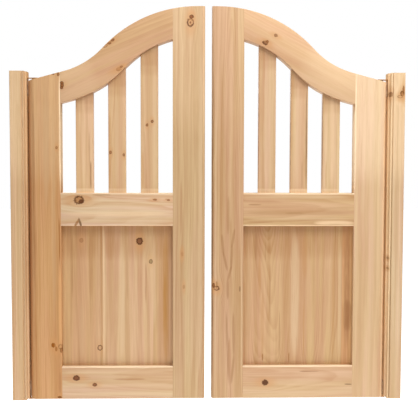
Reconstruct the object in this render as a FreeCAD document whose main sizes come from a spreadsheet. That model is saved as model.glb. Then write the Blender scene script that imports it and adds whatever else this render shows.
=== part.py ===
import FreeCAD, Part
import math
import os
import Sketcher

# A pair of double-swinging cafe doors between two moulded jamb strips.
# Row frame: +X to the right, +Y to the back, +Z up, millimetres.  The origin is
# in the middle of the pair, level with the undersides of the lower brackets.
#
# The left half is modelled in its own frame: u runs from the leaf's hinge edge
# towards the meeting edge, y is measured from the middle of the leaf's
# thickness, z from the leaf's bottom edge.  The right half is its mirror image.

SIZES = {
    # the pair as a whole
    "overall_width": 1063.0,
    "meeting_gap": 18.5,
    "hinge_gap": 3.0,
    # frame of a leaf
    "leaf_thickness": 35.0,
    "stile_width": 86.5,
    "rail_height": 89.0,
    "middle_rail_top": 565.0,
    "meeting_round": 8.0,
    # arched top rail: straight ramp, hollow valley, round crown, short flat; the
    # ramp climbs its share of the whole rise
    "hinge_height": 866.0,
    "peak_height": 1067.0,
    "ramp_share": 0.1323,
    "ramp_run": 97.5,
    "valley_run": 103.0,
    "crown_flat": 18.0,
    "arch_width": 80.0,
    # joints
    "tenon_thickness": 12.0,
    "tenon_length": 40.0,
    "tenon_shoulder": 13.0,
    "housing_depth": 12.0,
    # slats
    "slat_count": 3.0,
    "slat_width": 47.0,
    "slat_thickness": 19.0,
    "slat_chamfer": 1.2,
    # flat panel, glued up from three boards
    "panel_thickness": 7.0,
    "groove_depth": 10.0,
    "panel_play": 0.5,
    "left_hinge_board": 120.0,
    "left_middle_board": 138.0,
    "right_hinge_board": 38.0,
    "right_middle_board": 144.0,
    # moulded jamb strip
    "strip_width": 43.0,
    "strip_depth": 57.0,
    "strip_rise": 25.0,
    "nose_length": 4.5,
    "nose_thickness": 28.0,
    "bead_width": 4.5,
    "quirk_width": 2.5,
    "quirk_depth": 3.5,
    "strip_round": 2.0,
    "jamb_hole_radius": 2.5,
    "jamb_counterbore_radius": 5.5,
    "jamb_counterbore_depth": 8.0,
    "jamb_hole_inset": 105.5,
    # pivot brackets
    "plate_thickness": 2.0,
    "leg_width": 18.0,
    "leg_height": 48.0,
    "arm_width": 12.0,
    "arm_end_radius": 8.0,
    "arm_clearance": 0.4,
    # upper pivot
    "pin_radius": 4.0,
    "pin_length": 22.0,
    "bush_radius": 7.0,
    "bush_length": 26.0,
    "flange_radius": 9.0,
    "flange_thickness": 4.0,
    "seat_depth": 0.5,
    # lower spring pivot
    "washer_thickness": 1.0,
    "washer_radius": 8.0,
    "spindle_radius": 5.0,
    "barrel_radius": 10.0,
    "barrel_wall": 2.0,
    "barrel_length": 92.0,
    "bearing_length": 12.0,
    "barrel_cap": 6.0,
    "barrel_plate_length": 26.0,
    "barrel_plate_width": 20.0,
    "running_clearance": 0.05,
    "wire_size": 1.6,
    "coil_radius": 6.2,
    "coil_turns": 9.0,
    "coil_sides": 12.0,
}

# Sizes that follow from the driving ones, as formulas of the sheet.
LAYOUT = {
    "leaf_edge": "Sizes.overall_width / 2 - Sizes.strip_width - Sizes.hinge_gap",
    "leaf_width": "leaf_edge - Sizes.meeting_gap / 2",
    "base_height": "Sizes.plate_thickness + Sizes.washer_thickness",
    "axis_u": "Sizes.leaf_thickness / 2",
    "inner_left": "Sizes.stile_width",
    "inner_right": "leaf_width - Sizes.stile_width",
    "clear_width": "inner_right - inner_left",
    "slat_gap": "(clear_width - Sizes.slat_count * Sizes.slat_width) / (Sizes.slat_count + 1)",
    "middle_rail_low": "Sizes.middle_rail_top - Sizes.rail_height",
    "panel_width": "clear_width + 2 * Sizes.groove_depth - 2 * Sizes.panel_play",
    "crown_u": "leaf_width - Sizes.crown_flat",
    "crown_run": "crown_u - Sizes.ramp_run - Sizes.valley_run",
    "ogee_rise": "Sizes.peak_height - Sizes.hinge_height",
    "ramp_lift": "Sizes.ramp_share * ogee_rise",
    "ramp_slope": "ramp_lift / Sizes.ramp_run",
    "ramp_angle": "atan(ramp_slope) / 1 deg",
    "ramp_sine": "sin(ramp_angle * 1 deg)",
    "ramp_cosine": "cos(ramp_angle * 1 deg)",
    # the steepest angle, where the valley turns into the crown: its half-angle's
    # tangent solves the quadratic of the arcs' summed rises
    "ramp_half": "tan(ramp_angle / 2 * 1 deg)",
    "arcs_rise": "ogee_rise - ramp_lift",
    "square_term": "crown_run * ramp_half",
    "linear_term": "Sizes.valley_run + crown_run + arcs_rise * ramp_half",
    "constant_term": "arcs_rise - Sizes.valley_run * ramp_half",
    "root_term": "sqrt(linear_term ^ 2 - 4 * square_term * constant_term)",
    "steep_half": "2 * constant_term / (linear_term + root_term)",
    "steep_angle": "2 * atan(steep_half) / 1 deg",
    "valley_radius": "Sizes.valley_run / (sin(steep_angle * 1 deg) - ramp_sine)",
    "crown_radius": "crown_run / sin(steep_angle * 1 deg)",
    "crown_z": "Sizes.peak_height - crown_radius",
    "valley_u": "Sizes.ramp_run - valley_radius * ramp_sine",
    "valley_z": "Sizes.hinge_height + ramp_lift + valley_radius * ramp_cosine",
    "seat_z": "Sizes.hinge_height + (axis_u - Sizes.flange_radius) * ramp_slope - Sizes.seat_depth",
    "top_line": "0",
    "housing_line": "Sizes.arch_width - Sizes.housing_depth",
    "under_line": "Sizes.arch_width",
    "far_left_z": "Sizes.hinge_height - Sizes.stile_width * ramp_slope",
    "far_right": "leaf_width + Sizes.stile_width",
    "high_level": "2 * Sizes.peak_height",
    "low_level": "middle_rail_low - Sizes.rail_height",
    "slat_foot": "Sizes.middle_rail_top - Sizes.housing_depth",
    # the upper arm clears the leaf's sloping top and the bush's flange
    "over_leaf_z": "Sizes.hinge_height + (axis_u + Sizes.arm_end_radius) * ramp_slope",
    "over_bush_z": "seat_z + Sizes.flange_thickness",
    "top_arm_z": "max(over_leaf_z; over_bush_z) + Sizes.arm_clearance",
    "nose_u": "-Sizes.hinge_gap",
    "bead_u": "nose_u - Sizes.nose_length",
    "quirk_u": "bead_u - Sizes.bead_width",
    "face_u": "quirk_u - Sizes.quirk_width",
    "outer_u": "nose_u - Sizes.strip_width",
    "strip_height": "Sizes.hinge_height + Sizes.strip_rise",
    "nose_y": "Sizes.nose_thickness / 2",
    "face_y": "Sizes.strip_depth / 2",
    "bead_y": "face_y - Sizes.bead_width / 2",
    "quirk_y": "face_y - Sizes.quirk_depth",
    "cavity_radius": "Sizes.barrel_radius - Sizes.barrel_wall",
    "cavity_top": "Sizes.barrel_length - Sizes.barrel_cap",
    "coil_foot": "Sizes.bearing_length + Sizes.wire_size",
    "coil_rise": "cavity_top - 2 * Sizes.wire_size - coil_foot",
    "stem_top": "Sizes.barrel_length - Sizes.plate_thickness",
}

doc = FreeCAD.newDocument("cafe_swinging_doors")


def fill_sheet(name, cells, formula):
    """One spreadsheet: names in column A, values with aliases in column B."""
    sheet = doc.addObject("Spreadsheet::Sheet", name)
    for row, (alias, value) in enumerate(cells.items(), 1):
        sheet.set(f"A{row}", alias)
        sheet.set(f"B{row}", f"={value}" if formula else str(value))
        sheet.setAlias(f"B{row}", alias)
    doc.recompute()
    return sheet


sizes = fill_sheet("Sizes", SIZES, False)
layout = fill_sheet("Layout", LAYOUT, True)


def new_body(label):
    """A body of the left half, placed in the row frame."""
    body = doc.addObject("PartDesign::Body", label)
    body.Label = label
    body.setExpression(".Placement.Base.x", "-Layout.leaf_edge")
    body.setExpression(".Placement.Base.z", "Layout.base_height")
    return body


def new_sketch(body, plane, name):
    """A sketch on one of the body's own origin planes."""
    sketch = body.newObject("Sketcher::SketchObject", f"{body.Name}_{name}")
    support = [item for item in body.Origin.OriginFeatures if item.Role == plane]
    sketch.AttachmentSupport = [(support[0], "")]
    sketch.MapMode = "FlatFace"
    return sketch


def bind_point(sketch, edge, end, across, up, place=FreeCAD.Vector(1, 1, 0)):
    """Hold one point of a sketch at two expressions; place is a first guess."""
    for kind, expression, guess in (("DistanceX", across, place.x), ("DistanceY", up, place.y)):
        index = sketch.addConstraint(Sketcher.Constraint(kind, -1, 1, edge, end, guess))
        sketch.setExpression(f"Constraints[{index}]", expression)


def bind_value(sketch, constraint, expression):
    index = sketch.addConstraint(constraint)
    sketch.setExpression(f"Constraints[{index}]", expression)


def polygon(sketch, corners):
    """Closed outline of straight edges through corners given as expressions."""
    count = len(corners)
    for step in range(count):
        start = math.tau * step / count
        end = math.tau * (step + 1) / count
        first = FreeCAD.Vector(math.cos(start), math.sin(start), 0)
        last = FreeCAD.Vector(math.cos(end), math.sin(end), 0)
        sketch.addGeometry(Part.LineSegment(first, last), False)
    for step in range(count):
        sketch.addConstraint(Sketcher.Constraint("Coincident", step, 2, (step + 1) % count, 1))
    for step, (across, up) in enumerate(corners):
        bind_point(sketch, step, 1, across, up)


def pad(body, sketch, length):
    feature = body.newObject("PartDesign::Pad", f"{body.Name}_pad")
    feature.Profile = sketch
    feature.setExpression("Length", length)


def cut_through(body, sketch, length):
    """Pocket to both sides of the sketch plane; it has to take wood away."""
    doc.recompute()
    before = body.Shape.Volume
    feature = body.newObject("PartDesign::Pocket", f"{body.Name}_cut")
    feature.Profile = sketch
    feature.SideType = "Symmetric"
    feature.setExpression("Length", length)
    doc.recompute()
    if not body.Shape.Volume < before:
        raise ValueError(f"{feature.Name} cuts nothing")


def block(body, kind, corner, size):
    """Box added to or taken from a body; corner and size are expressions."""
    box = body.newObject(f"PartDesign::{kind}Box", f"{body.Name}_{kind.lower()}")
    for axis, expression in zip("xyz", corner):
        box.setExpression(f".Placement.Base.{axis}", expression)
    for name, expression in zip(("Length", "Width", "Height"), size):
        box.setExpression(name, expression)


def cylinder(body, kind, foot, radius, height, direction=None):
    """Cylinder added to or taken from a body, upright unless a direction is given."""
    rod = body.newObject(f"PartDesign::{kind}Cylinder", f"{body.Name}_{kind.lower()}")
    if direction:
        turn = FreeCAD.Rotation(FreeCAD.Vector(0, 0, 1), FreeCAD.Vector(*direction))
        rod.Placement = FreeCAD.Placement(FreeCAD.Vector(), turn)
    for axis, expression in zip("xyz", foot):
        rod.setExpression(f".Placement.Base.{axis}", expression)
    rod.setExpression("Radius", radius)
    rod.setExpression("Height", height)


def turned(label, corners):
    """A body turned about the pivot axis; corners are (radius, height)."""
    body = new_body(label)
    body.setExpression(".Placement.Base.x", "Layout.axis_u - Layout.leaf_edge")
    sketch = new_sketch(body, "XZ_Plane", "profile")
    polygon(sketch, corners)
    revolution = body.newObject("PartDesign::Revolution", f"{label}_turned")
    revolution.Profile = sketch
    revolution.ReferenceAxis = (sketch, ["V_Axis"])
    revolution.Angle = 360.0
    return body


def upright_edges(body, places):
    """Names of a body's vertical edges that stand at the given (u, y) places."""
    doc.recompute()
    names = []
    for index, edge in enumerate(body.Shape.Edges, 1):
        low, high = edge.BoundBox.getPoint(0), edge.BoundBox.getPoint(6)
        straight = abs(low.x - high.x) < 1e-6 and abs(low.y - high.y) < 1e-6
        local = low - body.Placement.Base
        if straight and any(math.hypot(local.x - u, local.y - y) < 1e-3 for u, y in places):
            names.append(f"Edge{index}")
    return names


def ease_edges(body, kind, names, size_name, size):
    """Fillet or chamfer on named edges of a body."""
    last = body.Tip
    easing = body.newObject(f"PartDesign::{kind}", f"{body.Name}_{kind.lower()}")
    easing.Base = (last, names)
    easing.setExpression(size_name, size)


def ogee_sketch(body, name, line, level):
    """Region between a line parallel to the leaf's top and a level edge.

    The leaf's top is a straight ramp up from the hinge side, a hollow valley
    arc, a round crown arc and a short flat.  The arcs of every lower line share
    the centres of the top ones.  The region reaches past both sides of the leaf.
    """
    sketch = new_sketch(body, "XZ_Plane", name)
    drop = getattr(layout, line)
    slope = math.radians(layout.ramp_angle)
    hollow = layout.valley_radius + drop
    bulge = layout.crown_radius - drop
    valley = FreeCAD.Vector(layout.valley_u, layout.valley_z, 0)
    crown = FreeCAD.Vector(layout.crown_u, layout.crown_z, 0)
    ramp_end = valley + FreeCAD.Vector(math.sin(slope), -math.cos(slope), 0) * hollow
    turn = valley + (crown - valley).normalize() * hollow
    crown_top = crown + FreeCAD.Vector(0, bulge, 0)
    start = FreeCAD.Vector(-sizes.stile_width, layout.far_left_z - drop / math.cos(slope), 0)
    end = FreeCAD.Vector(layout.far_right, crown_top.y, 0)
    end_corner = FreeCAD.Vector(end.x, getattr(layout, level), 0)
    start_corner = FreeCAD.Vector(start.x, end_corner.y, 0)

    def heading(point, centre):
        return math.atan2(point.y - centre.y, point.x - centre.x)

    normal = FreeCAD.Vector(0, 0, 1)
    sketch.addGeometry(Part.LineSegment(start, ramp_end), False)
    sketch.addGeometry(Part.ArcOfCircle(Part.Circle(valley, normal, hollow),
                                        heading(ramp_end, valley), heading(turn, valley)), False)
    sketch.addGeometry(Part.ArcOfCircle(Part.Circle(crown, normal, bulge),
                                        heading(crown_top, crown), heading(turn, crown)), False)
    corners = (crown_top, end, end_corner, start_corner, start)
    for first, last in zip(corners, corners[1:]):
        sketch.addGeometry(Part.LineSegment(first, last), False)
    for constraint in (("Tangent", 0, 2, 1, 1), ("Tangent", 1, 2, 2, 2), ("Tangent", 2, 1, 3, 1),
                       ("Coincident", 3, 2, 4, 1), ("Coincident", 4, 2, 5, 1),
                       ("Coincident", 5, 2, 6, 1), ("Coincident", 6, 2, 0, 1),
                       ("Horizontal", 3), ("Vertical", 4), ("Horizontal", 5), ("Vertical", 6)):
        sketch.addConstraint(Sketcher.Constraint(*constraint))
    offset = f"Layout.{line}"
    bind_value(sketch, Sketcher.Constraint("Radius", 1, hollow), f"Layout.valley_radius + {offset}")
    bind_value(sketch, Sketcher.Constraint("Radius", 2, bulge), f"Layout.crown_radius - {offset}")
    bind_value(sketch, Sketcher.Constraint("Angle", 0, slope), "Layout.ramp_angle * 1 deg")
    bind_point(sketch, 2, 3, "Layout.crown_u", "Layout.crown_z", crown)
    bind_point(sketch, 0, 1, "-Sizes.stile_width",
               f"Layout.far_left_z - {offset} / Layout.ramp_cosine", start)
    bind_point(sketch, 4, 2, "Layout.far_right", f"Layout.{level}", end_corner)
    return sketch


def trim_above(body, line):
    """Take away everything above the ogee curve or a line parallel to it."""
    sketch = ogee_sketch(body, "trim", line, "high_level")
    cut_through(body, sketch, TWICE_THICK)


TWICE_THICK = "2 * Sizes.leaf_thickness"
TENON_Y = "-Sizes.tenon_thickness / 2"
PANEL_Y = "-Sizes.panel_thickness / 2"
FRONT_Y = "-Sizes.leaf_thickness / 2"

# Each tenon's bottom and height.  The arched rail's ends stand at different heights.
RAIL_TENON_HEIGHT = "Sizes.rail_height - 2 * Sizes.tenon_shoulder"
ARCH_TENON_HEIGHT = "Sizes.arch_width - 2 * Sizes.tenon_shoulder"
BOTTOM_TENON = ("Sizes.tenon_shoulder", RAIL_TENON_HEIGHT)
MIDDLE_TENON = ("Layout.middle_rail_low + Sizes.tenon_shoulder", RAIL_TENON_HEIGHT)
HINGE_SIDE_TENON = ("Sizes.hinge_height + Sizes.stile_width * Layout.ramp_slope"
                    " - Sizes.arch_width / Layout.ramp_cosine + Sizes.tenon_shoulder",
                    ARCH_TENON_HEIGHT)
MEETING_SIDE_TENON = ("Layout.crown_z + sqrt((Layout.crown_radius - Sizes.arch_width) ^ 2"
                      " - (Layout.crown_u - Layout.inner_right) ^ 2) + Sizes.tenon_shoulder",
                      ARCH_TENON_HEIGHT)


def tenons(body, hinge_side, meeting_side):
    """A tenon at each end of a rail."""
    for (bottom, height), corner in ((hinge_side, "Layout.inner_left - Sizes.tenon_length"),
                                     (meeting_side, "Layout.inner_right")):
        block(body, "Additive", (corner, TENON_Y, bottom),
              ("Sizes.tenon_length", "Sizes.tenon_thickness", height))


def cut_stile(body, mortise_u, groove_u, arch_tenon):
    """Mortises for the three rails and the groove for the panel, as in both stiles."""
    for bottom, height in (BOTTOM_TENON, MIDDLE_TENON, arch_tenon):
        block(body, "Subtractive", (mortise_u, TENON_Y, bottom),
              ("Sizes.tenon_length", "Sizes.tenon_thickness", height))
    block(body, "Subtractive", (groove_u, PANEL_Y, "Sizes.rail_height - Sizes.groove_depth"),
          ("Sizes.groove_depth", "Sizes.panel_thickness",
           "Layout.middle_rail_low - Sizes.rail_height + 2 * Sizes.groove_depth"))


def hinge_stile(label):
    """Stile with a full bull-nose, whose centre is the pivot axis."""
    body = new_body(label)
    sketch = new_sketch(body, "XY_Plane", "section")
    radius = sizes.leaf_thickness / 2
    width = sizes.stile_width
    centre = FreeCAD.Vector(radius, 0, 0)
    nose = Part.ArcOfCircle(Part.Circle(centre, FreeCAD.Vector(0, 0, 1), radius),
                            math.pi / 2, 3 * math.pi / 2)
    corners = [FreeCAD.Vector(*place, 0)
               for place in ((radius, -radius), (width, -radius), (width, radius), (radius, radius))]
    sketch.addGeometry(nose, False)
    for first, last in zip(corners, corners[1:]):
        sketch.addGeometry(Part.LineSegment(first, last), False)
    for constraint in (("Tangent", 0, 2, 1, 1), ("Coincident", 1, 2, 2, 1),
                       ("Coincident", 2, 2, 3, 1), ("Tangent", 3, 2, 0, 1),
                       ("Horizontal", 1), ("Vertical", 2), ("Horizontal", 3)):
        sketch.addConstraint(Sketcher.Constraint(*constraint))
    bind_point(sketch, 0, 3, "Layout.axis_u", "0", centre)
    bind_value(sketch, Sketcher.Constraint("Radius", 0, radius), "Layout.axis_u")
    bind_value(sketch, Sketcher.Constraint("DistanceX", -1, 1, 1, 2, width), "Sizes.stile_width")
    pad(body, sketch, "Sizes.peak_height")
    trim_above(body, "top_line")
    cut_stile(body, "Layout.inner_left - Sizes.tenon_length",
              "Layout.inner_left - Sizes.groove_depth", HINGE_SIDE_TENON)
    # bore and seat of the upper bush
    cylinder(body, "Subtractive", ("Layout.axis_u", "0", "Layout.seat_z"),
             "Sizes.flange_radius", "Sizes.stile_width")
    cylinder(body, "Subtractive", ("Layout.axis_u", "0", "Layout.seat_z - Sizes.bush_length"),
             "Sizes.bush_radius", "Sizes.bush_length")
    # bore and plate recess of the spring barrel
    cylinder(body, "Subtractive", ("Layout.axis_u", "0", "0"), "Sizes.barrel_radius", "Sizes.barrel_length")
    block(body, "Subtractive", ("Layout.axis_u", "-Sizes.barrel_plate_width / 2", "0"),
          ("Sizes.barrel_plate_length", "Sizes.barrel_plate_width", "Sizes.plate_thickness"))
    return body


def meeting_stile(label):
    """Stile under the crown, with its meeting edge rounded front and back."""
    body = new_body(label)
    sketch = new_sketch(body, "XY_Plane", "section")
    back = "Sizes.leaf_thickness / 2"
    polygon(sketch, (("Layout.inner_right", FRONT_Y), ("Layout.leaf_width", FRONT_Y),
                     ("Layout.leaf_width", back), ("Layout.inner_right", back)))
    pad(body, sketch, "Sizes.peak_height")
    half = sizes.leaf_thickness / 2
    places = [(layout.leaf_width, -half), (layout.leaf_width, half)]
    ease_edges(body, "Fillet", upright_edges(body, places), "Radius", "Sizes.meeting_round")
    trim_above(body, "top_line")
    cut_stile(body, "Layout.inner_right", "Layout.inner_right", MEETING_SIDE_TENON)
    return body


def straight_rail(label, low, tenon, groove_z):
    """Middle or bottom rail: face, tenons and the panel's groove."""
    body = new_body(label)
    block(body, "Additive", ("Layout.inner_left", FRONT_Y, low),
          ("Layout.clear_width", "Sizes.leaf_thickness", "Sizes.rail_height"))
    tenons(body, tenon, tenon)
    block(body, "Subtractive", ("Layout.inner_left", PANEL_Y, groove_z),
          ("Layout.clear_width", "Sizes.panel_thickness", "Sizes.groove_depth"))
    return body


def slat_left(number):
    """Left side of a slat, counted from the hinge stile."""
    return f"Layout.inner_left + {number} * Layout.slat_gap + {number - 1} * Sizes.slat_width"


def slat(label, number):
    """Upright slat, housed in the middle rail and, cut to its curve, in the arch."""
    body = new_body(label)
    thickness = "Sizes.slat_thickness"
    left = slat_left(number)
    block(body, "Additive", (left, f"-{thickness} / 2", "Layout.slat_foot"),
          ("Sizes.slat_width", thickness, "Sizes.peak_height - Layout.slat_foot"))
    low_u = layout.inner_left + number * layout.slat_gap + (number - 1) * sizes.slat_width
    half = sizes.slat_thickness / 2
    places = [(u, y) for u in (low_u, low_u + sizes.slat_width) for y in (-half, half)]
    ease_edges(body, "Chamfer", upright_edges(body, places), "Size", "Sizes.slat_chamfer")
    trim_above(body, "housing_line")
    return body


def housed(label, blank, slats):
    """A rail with its housings cut by the slats themselves."""
    rail = doc.addObject("Part::Cut", label)
    rail.Label = label
    rail.Base = blank
    rail.Tool = slats
    return rail


def arch_blank(label):
    """Arched rail: one band between two parallel ogee curves, with its tenons."""
    body = new_body(label)
    block(body, "Additive", ("Layout.inner_left", FRONT_Y, "Layout.middle_rail_low"),
          ("Layout.clear_width", "Sizes.leaf_thickness", "Sizes.peak_height - Layout.middle_rail_low"))
    trim_above(body, "top_line")
    below = ogee_sketch(body, "underside", "under_line", "low_level")
    cut_through(body, below, TWICE_THICK)
    tenons(body, HINGE_SIDE_TENON, MEETING_SIDE_TENON)
    return body


def panel_board(label, start, width):
    """One board of the flat panel, from a distance along the panel."""
    body = new_body(label)
    low = "Sizes.rail_height - Sizes.groove_depth + Sizes.panel_play"
    high = "Layout.middle_rail_low + Sizes.groove_depth - Sizes.panel_play"
    corner = f"Layout.inner_left - Sizes.groove_depth + Sizes.panel_play + {start}"
    block(body, "Additive", (corner, PANEL_Y, low), (width, "Sizes.panel_thickness", f"{high} - ({low})"))
    return body


def panel(side, suffix=""):
    """Three boards, edge to edge, counted from the hinge stile."""
    first = f"Sizes.{side}_hinge_board"
    second = f"Sizes.{side}_middle_board"
    rest = f"Layout.panel_width - {first} - {second}"
    spans = (("0", first), (first, second), (f"{first} + {second}", rest))
    return [panel_board(f"{side}_panel_board_{number}{suffix}", start, width)
            for number, (start, width) in enumerate(spans, 1)]


def strip_profile(sketch):
    """The moulding's outline: nose, bead, quirk and face, the same on the back."""
    half_outline = (("nose_u", "nose_y"), ("bead_u", "nose_y"), ("bead_u", "bead_y"),
                    ("quirk_u", "bead_y"), ("quirk_u", "quirk_y"), ("face_u", "quirk_y"),
                    ("face_u", "face_y"), ("outer_u", "face_y"))
    corners = [(across, deep, -1) for across, deep in half_outline]
    corners += [(across, deep, 1) for across, deep in reversed(half_outline)]
    points = [FreeCAD.Vector(getattr(layout, across), side * getattr(layout, deep), 0)
              for across, deep, side in corners]
    beads = {corners.index(("bead_u", "bead_y", -1)): -1, corners.index(("quirk_u", "bead_y", 1)): 1}
    count = len(corners)
    # an arc runs counter-clockwise, and the outline clockwise, so a bead's ends are swapped
    ends = [(2, 1) if step in beads else (1, 2) for step in range(count)]
    for step, point in enumerate(points):
        following = points[(step + 1) % count]
        if step in beads:
            circle = Part.Circle((point + following) / 2, FreeCAD.Vector(0, 0, 1), sizes.bead_width / 2)
            first = math.pi if beads[step] < 0 else 0
            sketch.addGeometry(Part.ArcOfCircle(circle, first, first + math.pi), False)
        else:
            sketch.addGeometry(Part.LineSegment(point, following), False)
    for step in range(count):
        following = (step + 1) % count
        sketch.addConstraint(Sketcher.Constraint("Coincident", step, ends[step][1],
                                                 following, ends[following][0]))
    for step, (across, deep, side) in enumerate(corners):
        expression = f"Layout.{deep}" if side > 0 else f"-Layout.{deep}"
        bind_point(sketch, step, ends[step][0], f"Layout.{across}", expression, points[step])
    for step, side in beads.items():
        expression = "Layout.bead_y" if side > 0 else "-Layout.bead_y"
        bind_value(sketch, Sketcher.Constraint("DistanceY", -1, 1, step, 3, points[step].y), expression)


def jamb_strip(label):
    body = new_body(label)
    sketch = new_sketch(body, "XY_Plane", "profile")
    strip_profile(sketch)
    pad(body, sketch, "Layout.strip_height")
    places = [(layout.outer_u, -layout.face_y), (layout.outer_u, layout.face_y)]
    ease_edges(body, "Fillet", upright_edges(body, places), "Radius", "Sizes.strip_round")
    for foot in (LOWER_LEG_Z, UPPER_LEG_Z):
        block(body, "Subtractive", (LEG_U, "-Sizes.leg_width / 2", foot),
              ("Sizes.plate_thickness", "Sizes.leg_width", "Sizes.leg_height"))
    for height in ("Sizes.jamb_hole_inset", "Layout.strip_height - Sizes.jamb_hole_inset"):
        cylinder(body, "Subtractive", ("Layout.outer_u", "0", height),
                 "Sizes.jamb_hole_radius", "Sizes.strip_width", (1, 0, 0))
        cylinder(body, "Subtractive", ("Layout.nose_u - Sizes.jamb_counterbore_depth", "0", height),
                 "Sizes.jamb_counterbore_radius", "Sizes.jamb_counterbore_depth", (1, 0, 0))
    return body


LEG_U = "Layout.nose_u - Sizes.plate_thickness"
LOWER_LEG_Z = "-Layout.base_height"
UPPER_LEG_Z = "Layout.top_arm_z + Sizes.plate_thickness - Sizes.leg_height"


def bracket(label, leg_z, arm_z):
    """Angle bracket: a leg let into the strip's nose, and an arm out to the pivot axis."""
    body = new_body(label)
    block(body, "Additive", (LEG_U, "-Sizes.leg_width / 2", leg_z),
          ("Sizes.plate_thickness", "Sizes.leg_width", "Sizes.leg_height"))
    block(body, "Additive", (LEG_U, "-Sizes.arm_width / 2", arm_z),
          (f"Layout.axis_u - ({LEG_U})", "Sizes.arm_width", "Sizes.plate_thickness"))
    for kind, radius in (("Additive", "Sizes.arm_end_radius"), ("Subtractive", "Sizes.pin_radius")):
        cylinder(body, kind, ("Layout.axis_u", "0", arm_z), radius, "Sizes.plate_thickness")
    return body


def top_pivot_pin(label):
    """Pin riveted in the upper bracket's arm, reaching down into the bush."""
    body = new_body(label)
    foot = "Layout.top_arm_z + Sizes.plate_thickness - Sizes.pin_length"
    cylinder(body, "Additive", ("Layout.axis_u", "0", foot), "Sizes.pin_radius", "Sizes.pin_length")
    return body


def top_bush(label):
    """Flanged bush, pressed into the top of the hinge stile."""
    bore = "Sizes.pin_radius + Sizes.running_clearance"
    foot = "Layout.seat_z - Sizes.bush_length"
    flange = "Layout.seat_z + Sizes.flange_thickness"
    return turned(label, ((bore, foot), ("Sizes.bush_radius", foot), ("Sizes.bush_radius", "Layout.seat_z"),
                          ("Sizes.flange_radius", "Layout.seat_z"), ("Sizes.flange_radius", flange),
                          (bore, flange)))


def pivot_spindle(label):
    """Fixed spindle, riveted in the lower arm, with a slot for the spring's lower end."""
    body = turned(label, (("0", "-Layout.base_height"), ("Sizes.pin_radius", "-Layout.base_height"),
                          ("Sizes.pin_radius", "-Sizes.washer_thickness"),
                          ("Sizes.spindle_radius", "-Sizes.washer_thickness"),
                          ("Sizes.spindle_radius", "Sizes.bearing_length"),
                          ("Sizes.pin_radius", "Sizes.bearing_length"),
                          ("Sizes.pin_radius", "Layout.stem_top"), ("0", "Layout.stem_top")))
    block(body, "Subtractive", ("0", "-Sizes.wire_size / 2", "Layout.coil_foot"),
          ("Sizes.spindle_radius", "Sizes.wire_size", "Sizes.wire_size"))
    return body


def thrust_washer(label):
    return turned(label, (("Sizes.spindle_radius", "-Sizes.washer_thickness"),
                          ("Sizes.washer_radius", "-Sizes.washer_thickness"),
                          ("Sizes.washer_radius", "0"), ("Sizes.spindle_radius", "0")))


def spring_barrel(label):
    """Barrel pressed up into the stile: bearing, spring cavity, cap and screwed plate."""
    bearing = "Sizes.spindle_radius + Sizes.running_clearance"
    tip = "Sizes.pin_radius + Sizes.running_clearance"
    body = turned(label, ((bearing, "0"), ("Sizes.barrel_radius", "0"),
                          ("Sizes.barrel_radius", "Sizes.barrel_length"), (tip, "Sizes.barrel_length"),
                          (tip, "Layout.cavity_top"), ("Layout.cavity_radius", "Layout.cavity_top"),
                          ("Layout.cavity_radius", "Sizes.bearing_length"),
                          (bearing, "Sizes.bearing_length")))
    block(body, "Additive", ("Layout.cavity_radius", "-Sizes.barrel_plate_width / 2", "0"),
          ("Sizes.barrel_plate_length - Layout.cavity_radius", "Sizes.barrel_plate_width",
           "Sizes.plate_thickness"))
    block(body, "Subtractive", ("Sizes.coil_radius - Sizes.wire_size / 2", "-Sizes.wire_size / 2",
                                "Layout.cavity_top"),
          ("Sizes.wire_size", "Sizes.wire_size", "Sizes.barrel_cap / 2"))
    return body


def torsion_spring(label):
    """Square-wire coil: lower end in the spindle's slot, upper end in the barrel's cap.

    Each turn runs in a few straight steps, which keeps the hidden coil light.
    """
    wire = sizes.wire_size
    steps = int(sizes.coil_turns * sizes.coil_sides)
    foot = layout.coil_foot + wire / 2
    path = []
    for step in range(steps + 1):
        angle = math.tau * step / sizes.coil_sides
        around = FreeCAD.Vector(math.cos(angle), math.sin(angle), 0) * sizes.coil_radius
        path.append(around + FreeCAD.Vector(0, 0, foot + layout.coil_rise * step / steps))
    inner = sizes.coil_radius - wire / 2
    corners = ((0, 0), (wire, 0), (wire, wire), (0, wire), (0, 0))
    section = Part.makePolygon([FreeCAD.Vector(inner + across, 0, layout.coil_foot + up)
                                for across, up in corners])
    coil = Part.makePolygon(path).makePipeShell([section], True, True, 1)
    lower_end = Part.makeBox(inner + wire, wire, wire, FreeCAD.Vector(0, -wire / 2, layout.coil_foot))
    upper_foot = layout.coil_foot + layout.coil_rise
    upper_length = layout.cavity_top + sizes.barrel_cap / 2 - upper_foot
    upper_end = Part.makeBox(wire, wire, upper_length, FreeCAD.Vector(inner, -wire / 2, upper_foot))
    spring = doc.addObject("Part::Feature", label)
    spring.Label = label
    spring.Shape = coil.fuse([lower_end, upper_end])
    spring.setExpression(".Placement.Base.x", "Layout.axis_u - Layout.leaf_edge")
    spring.setExpression(".Placement.Base.z", "Layout.base_height")
    return spring


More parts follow.
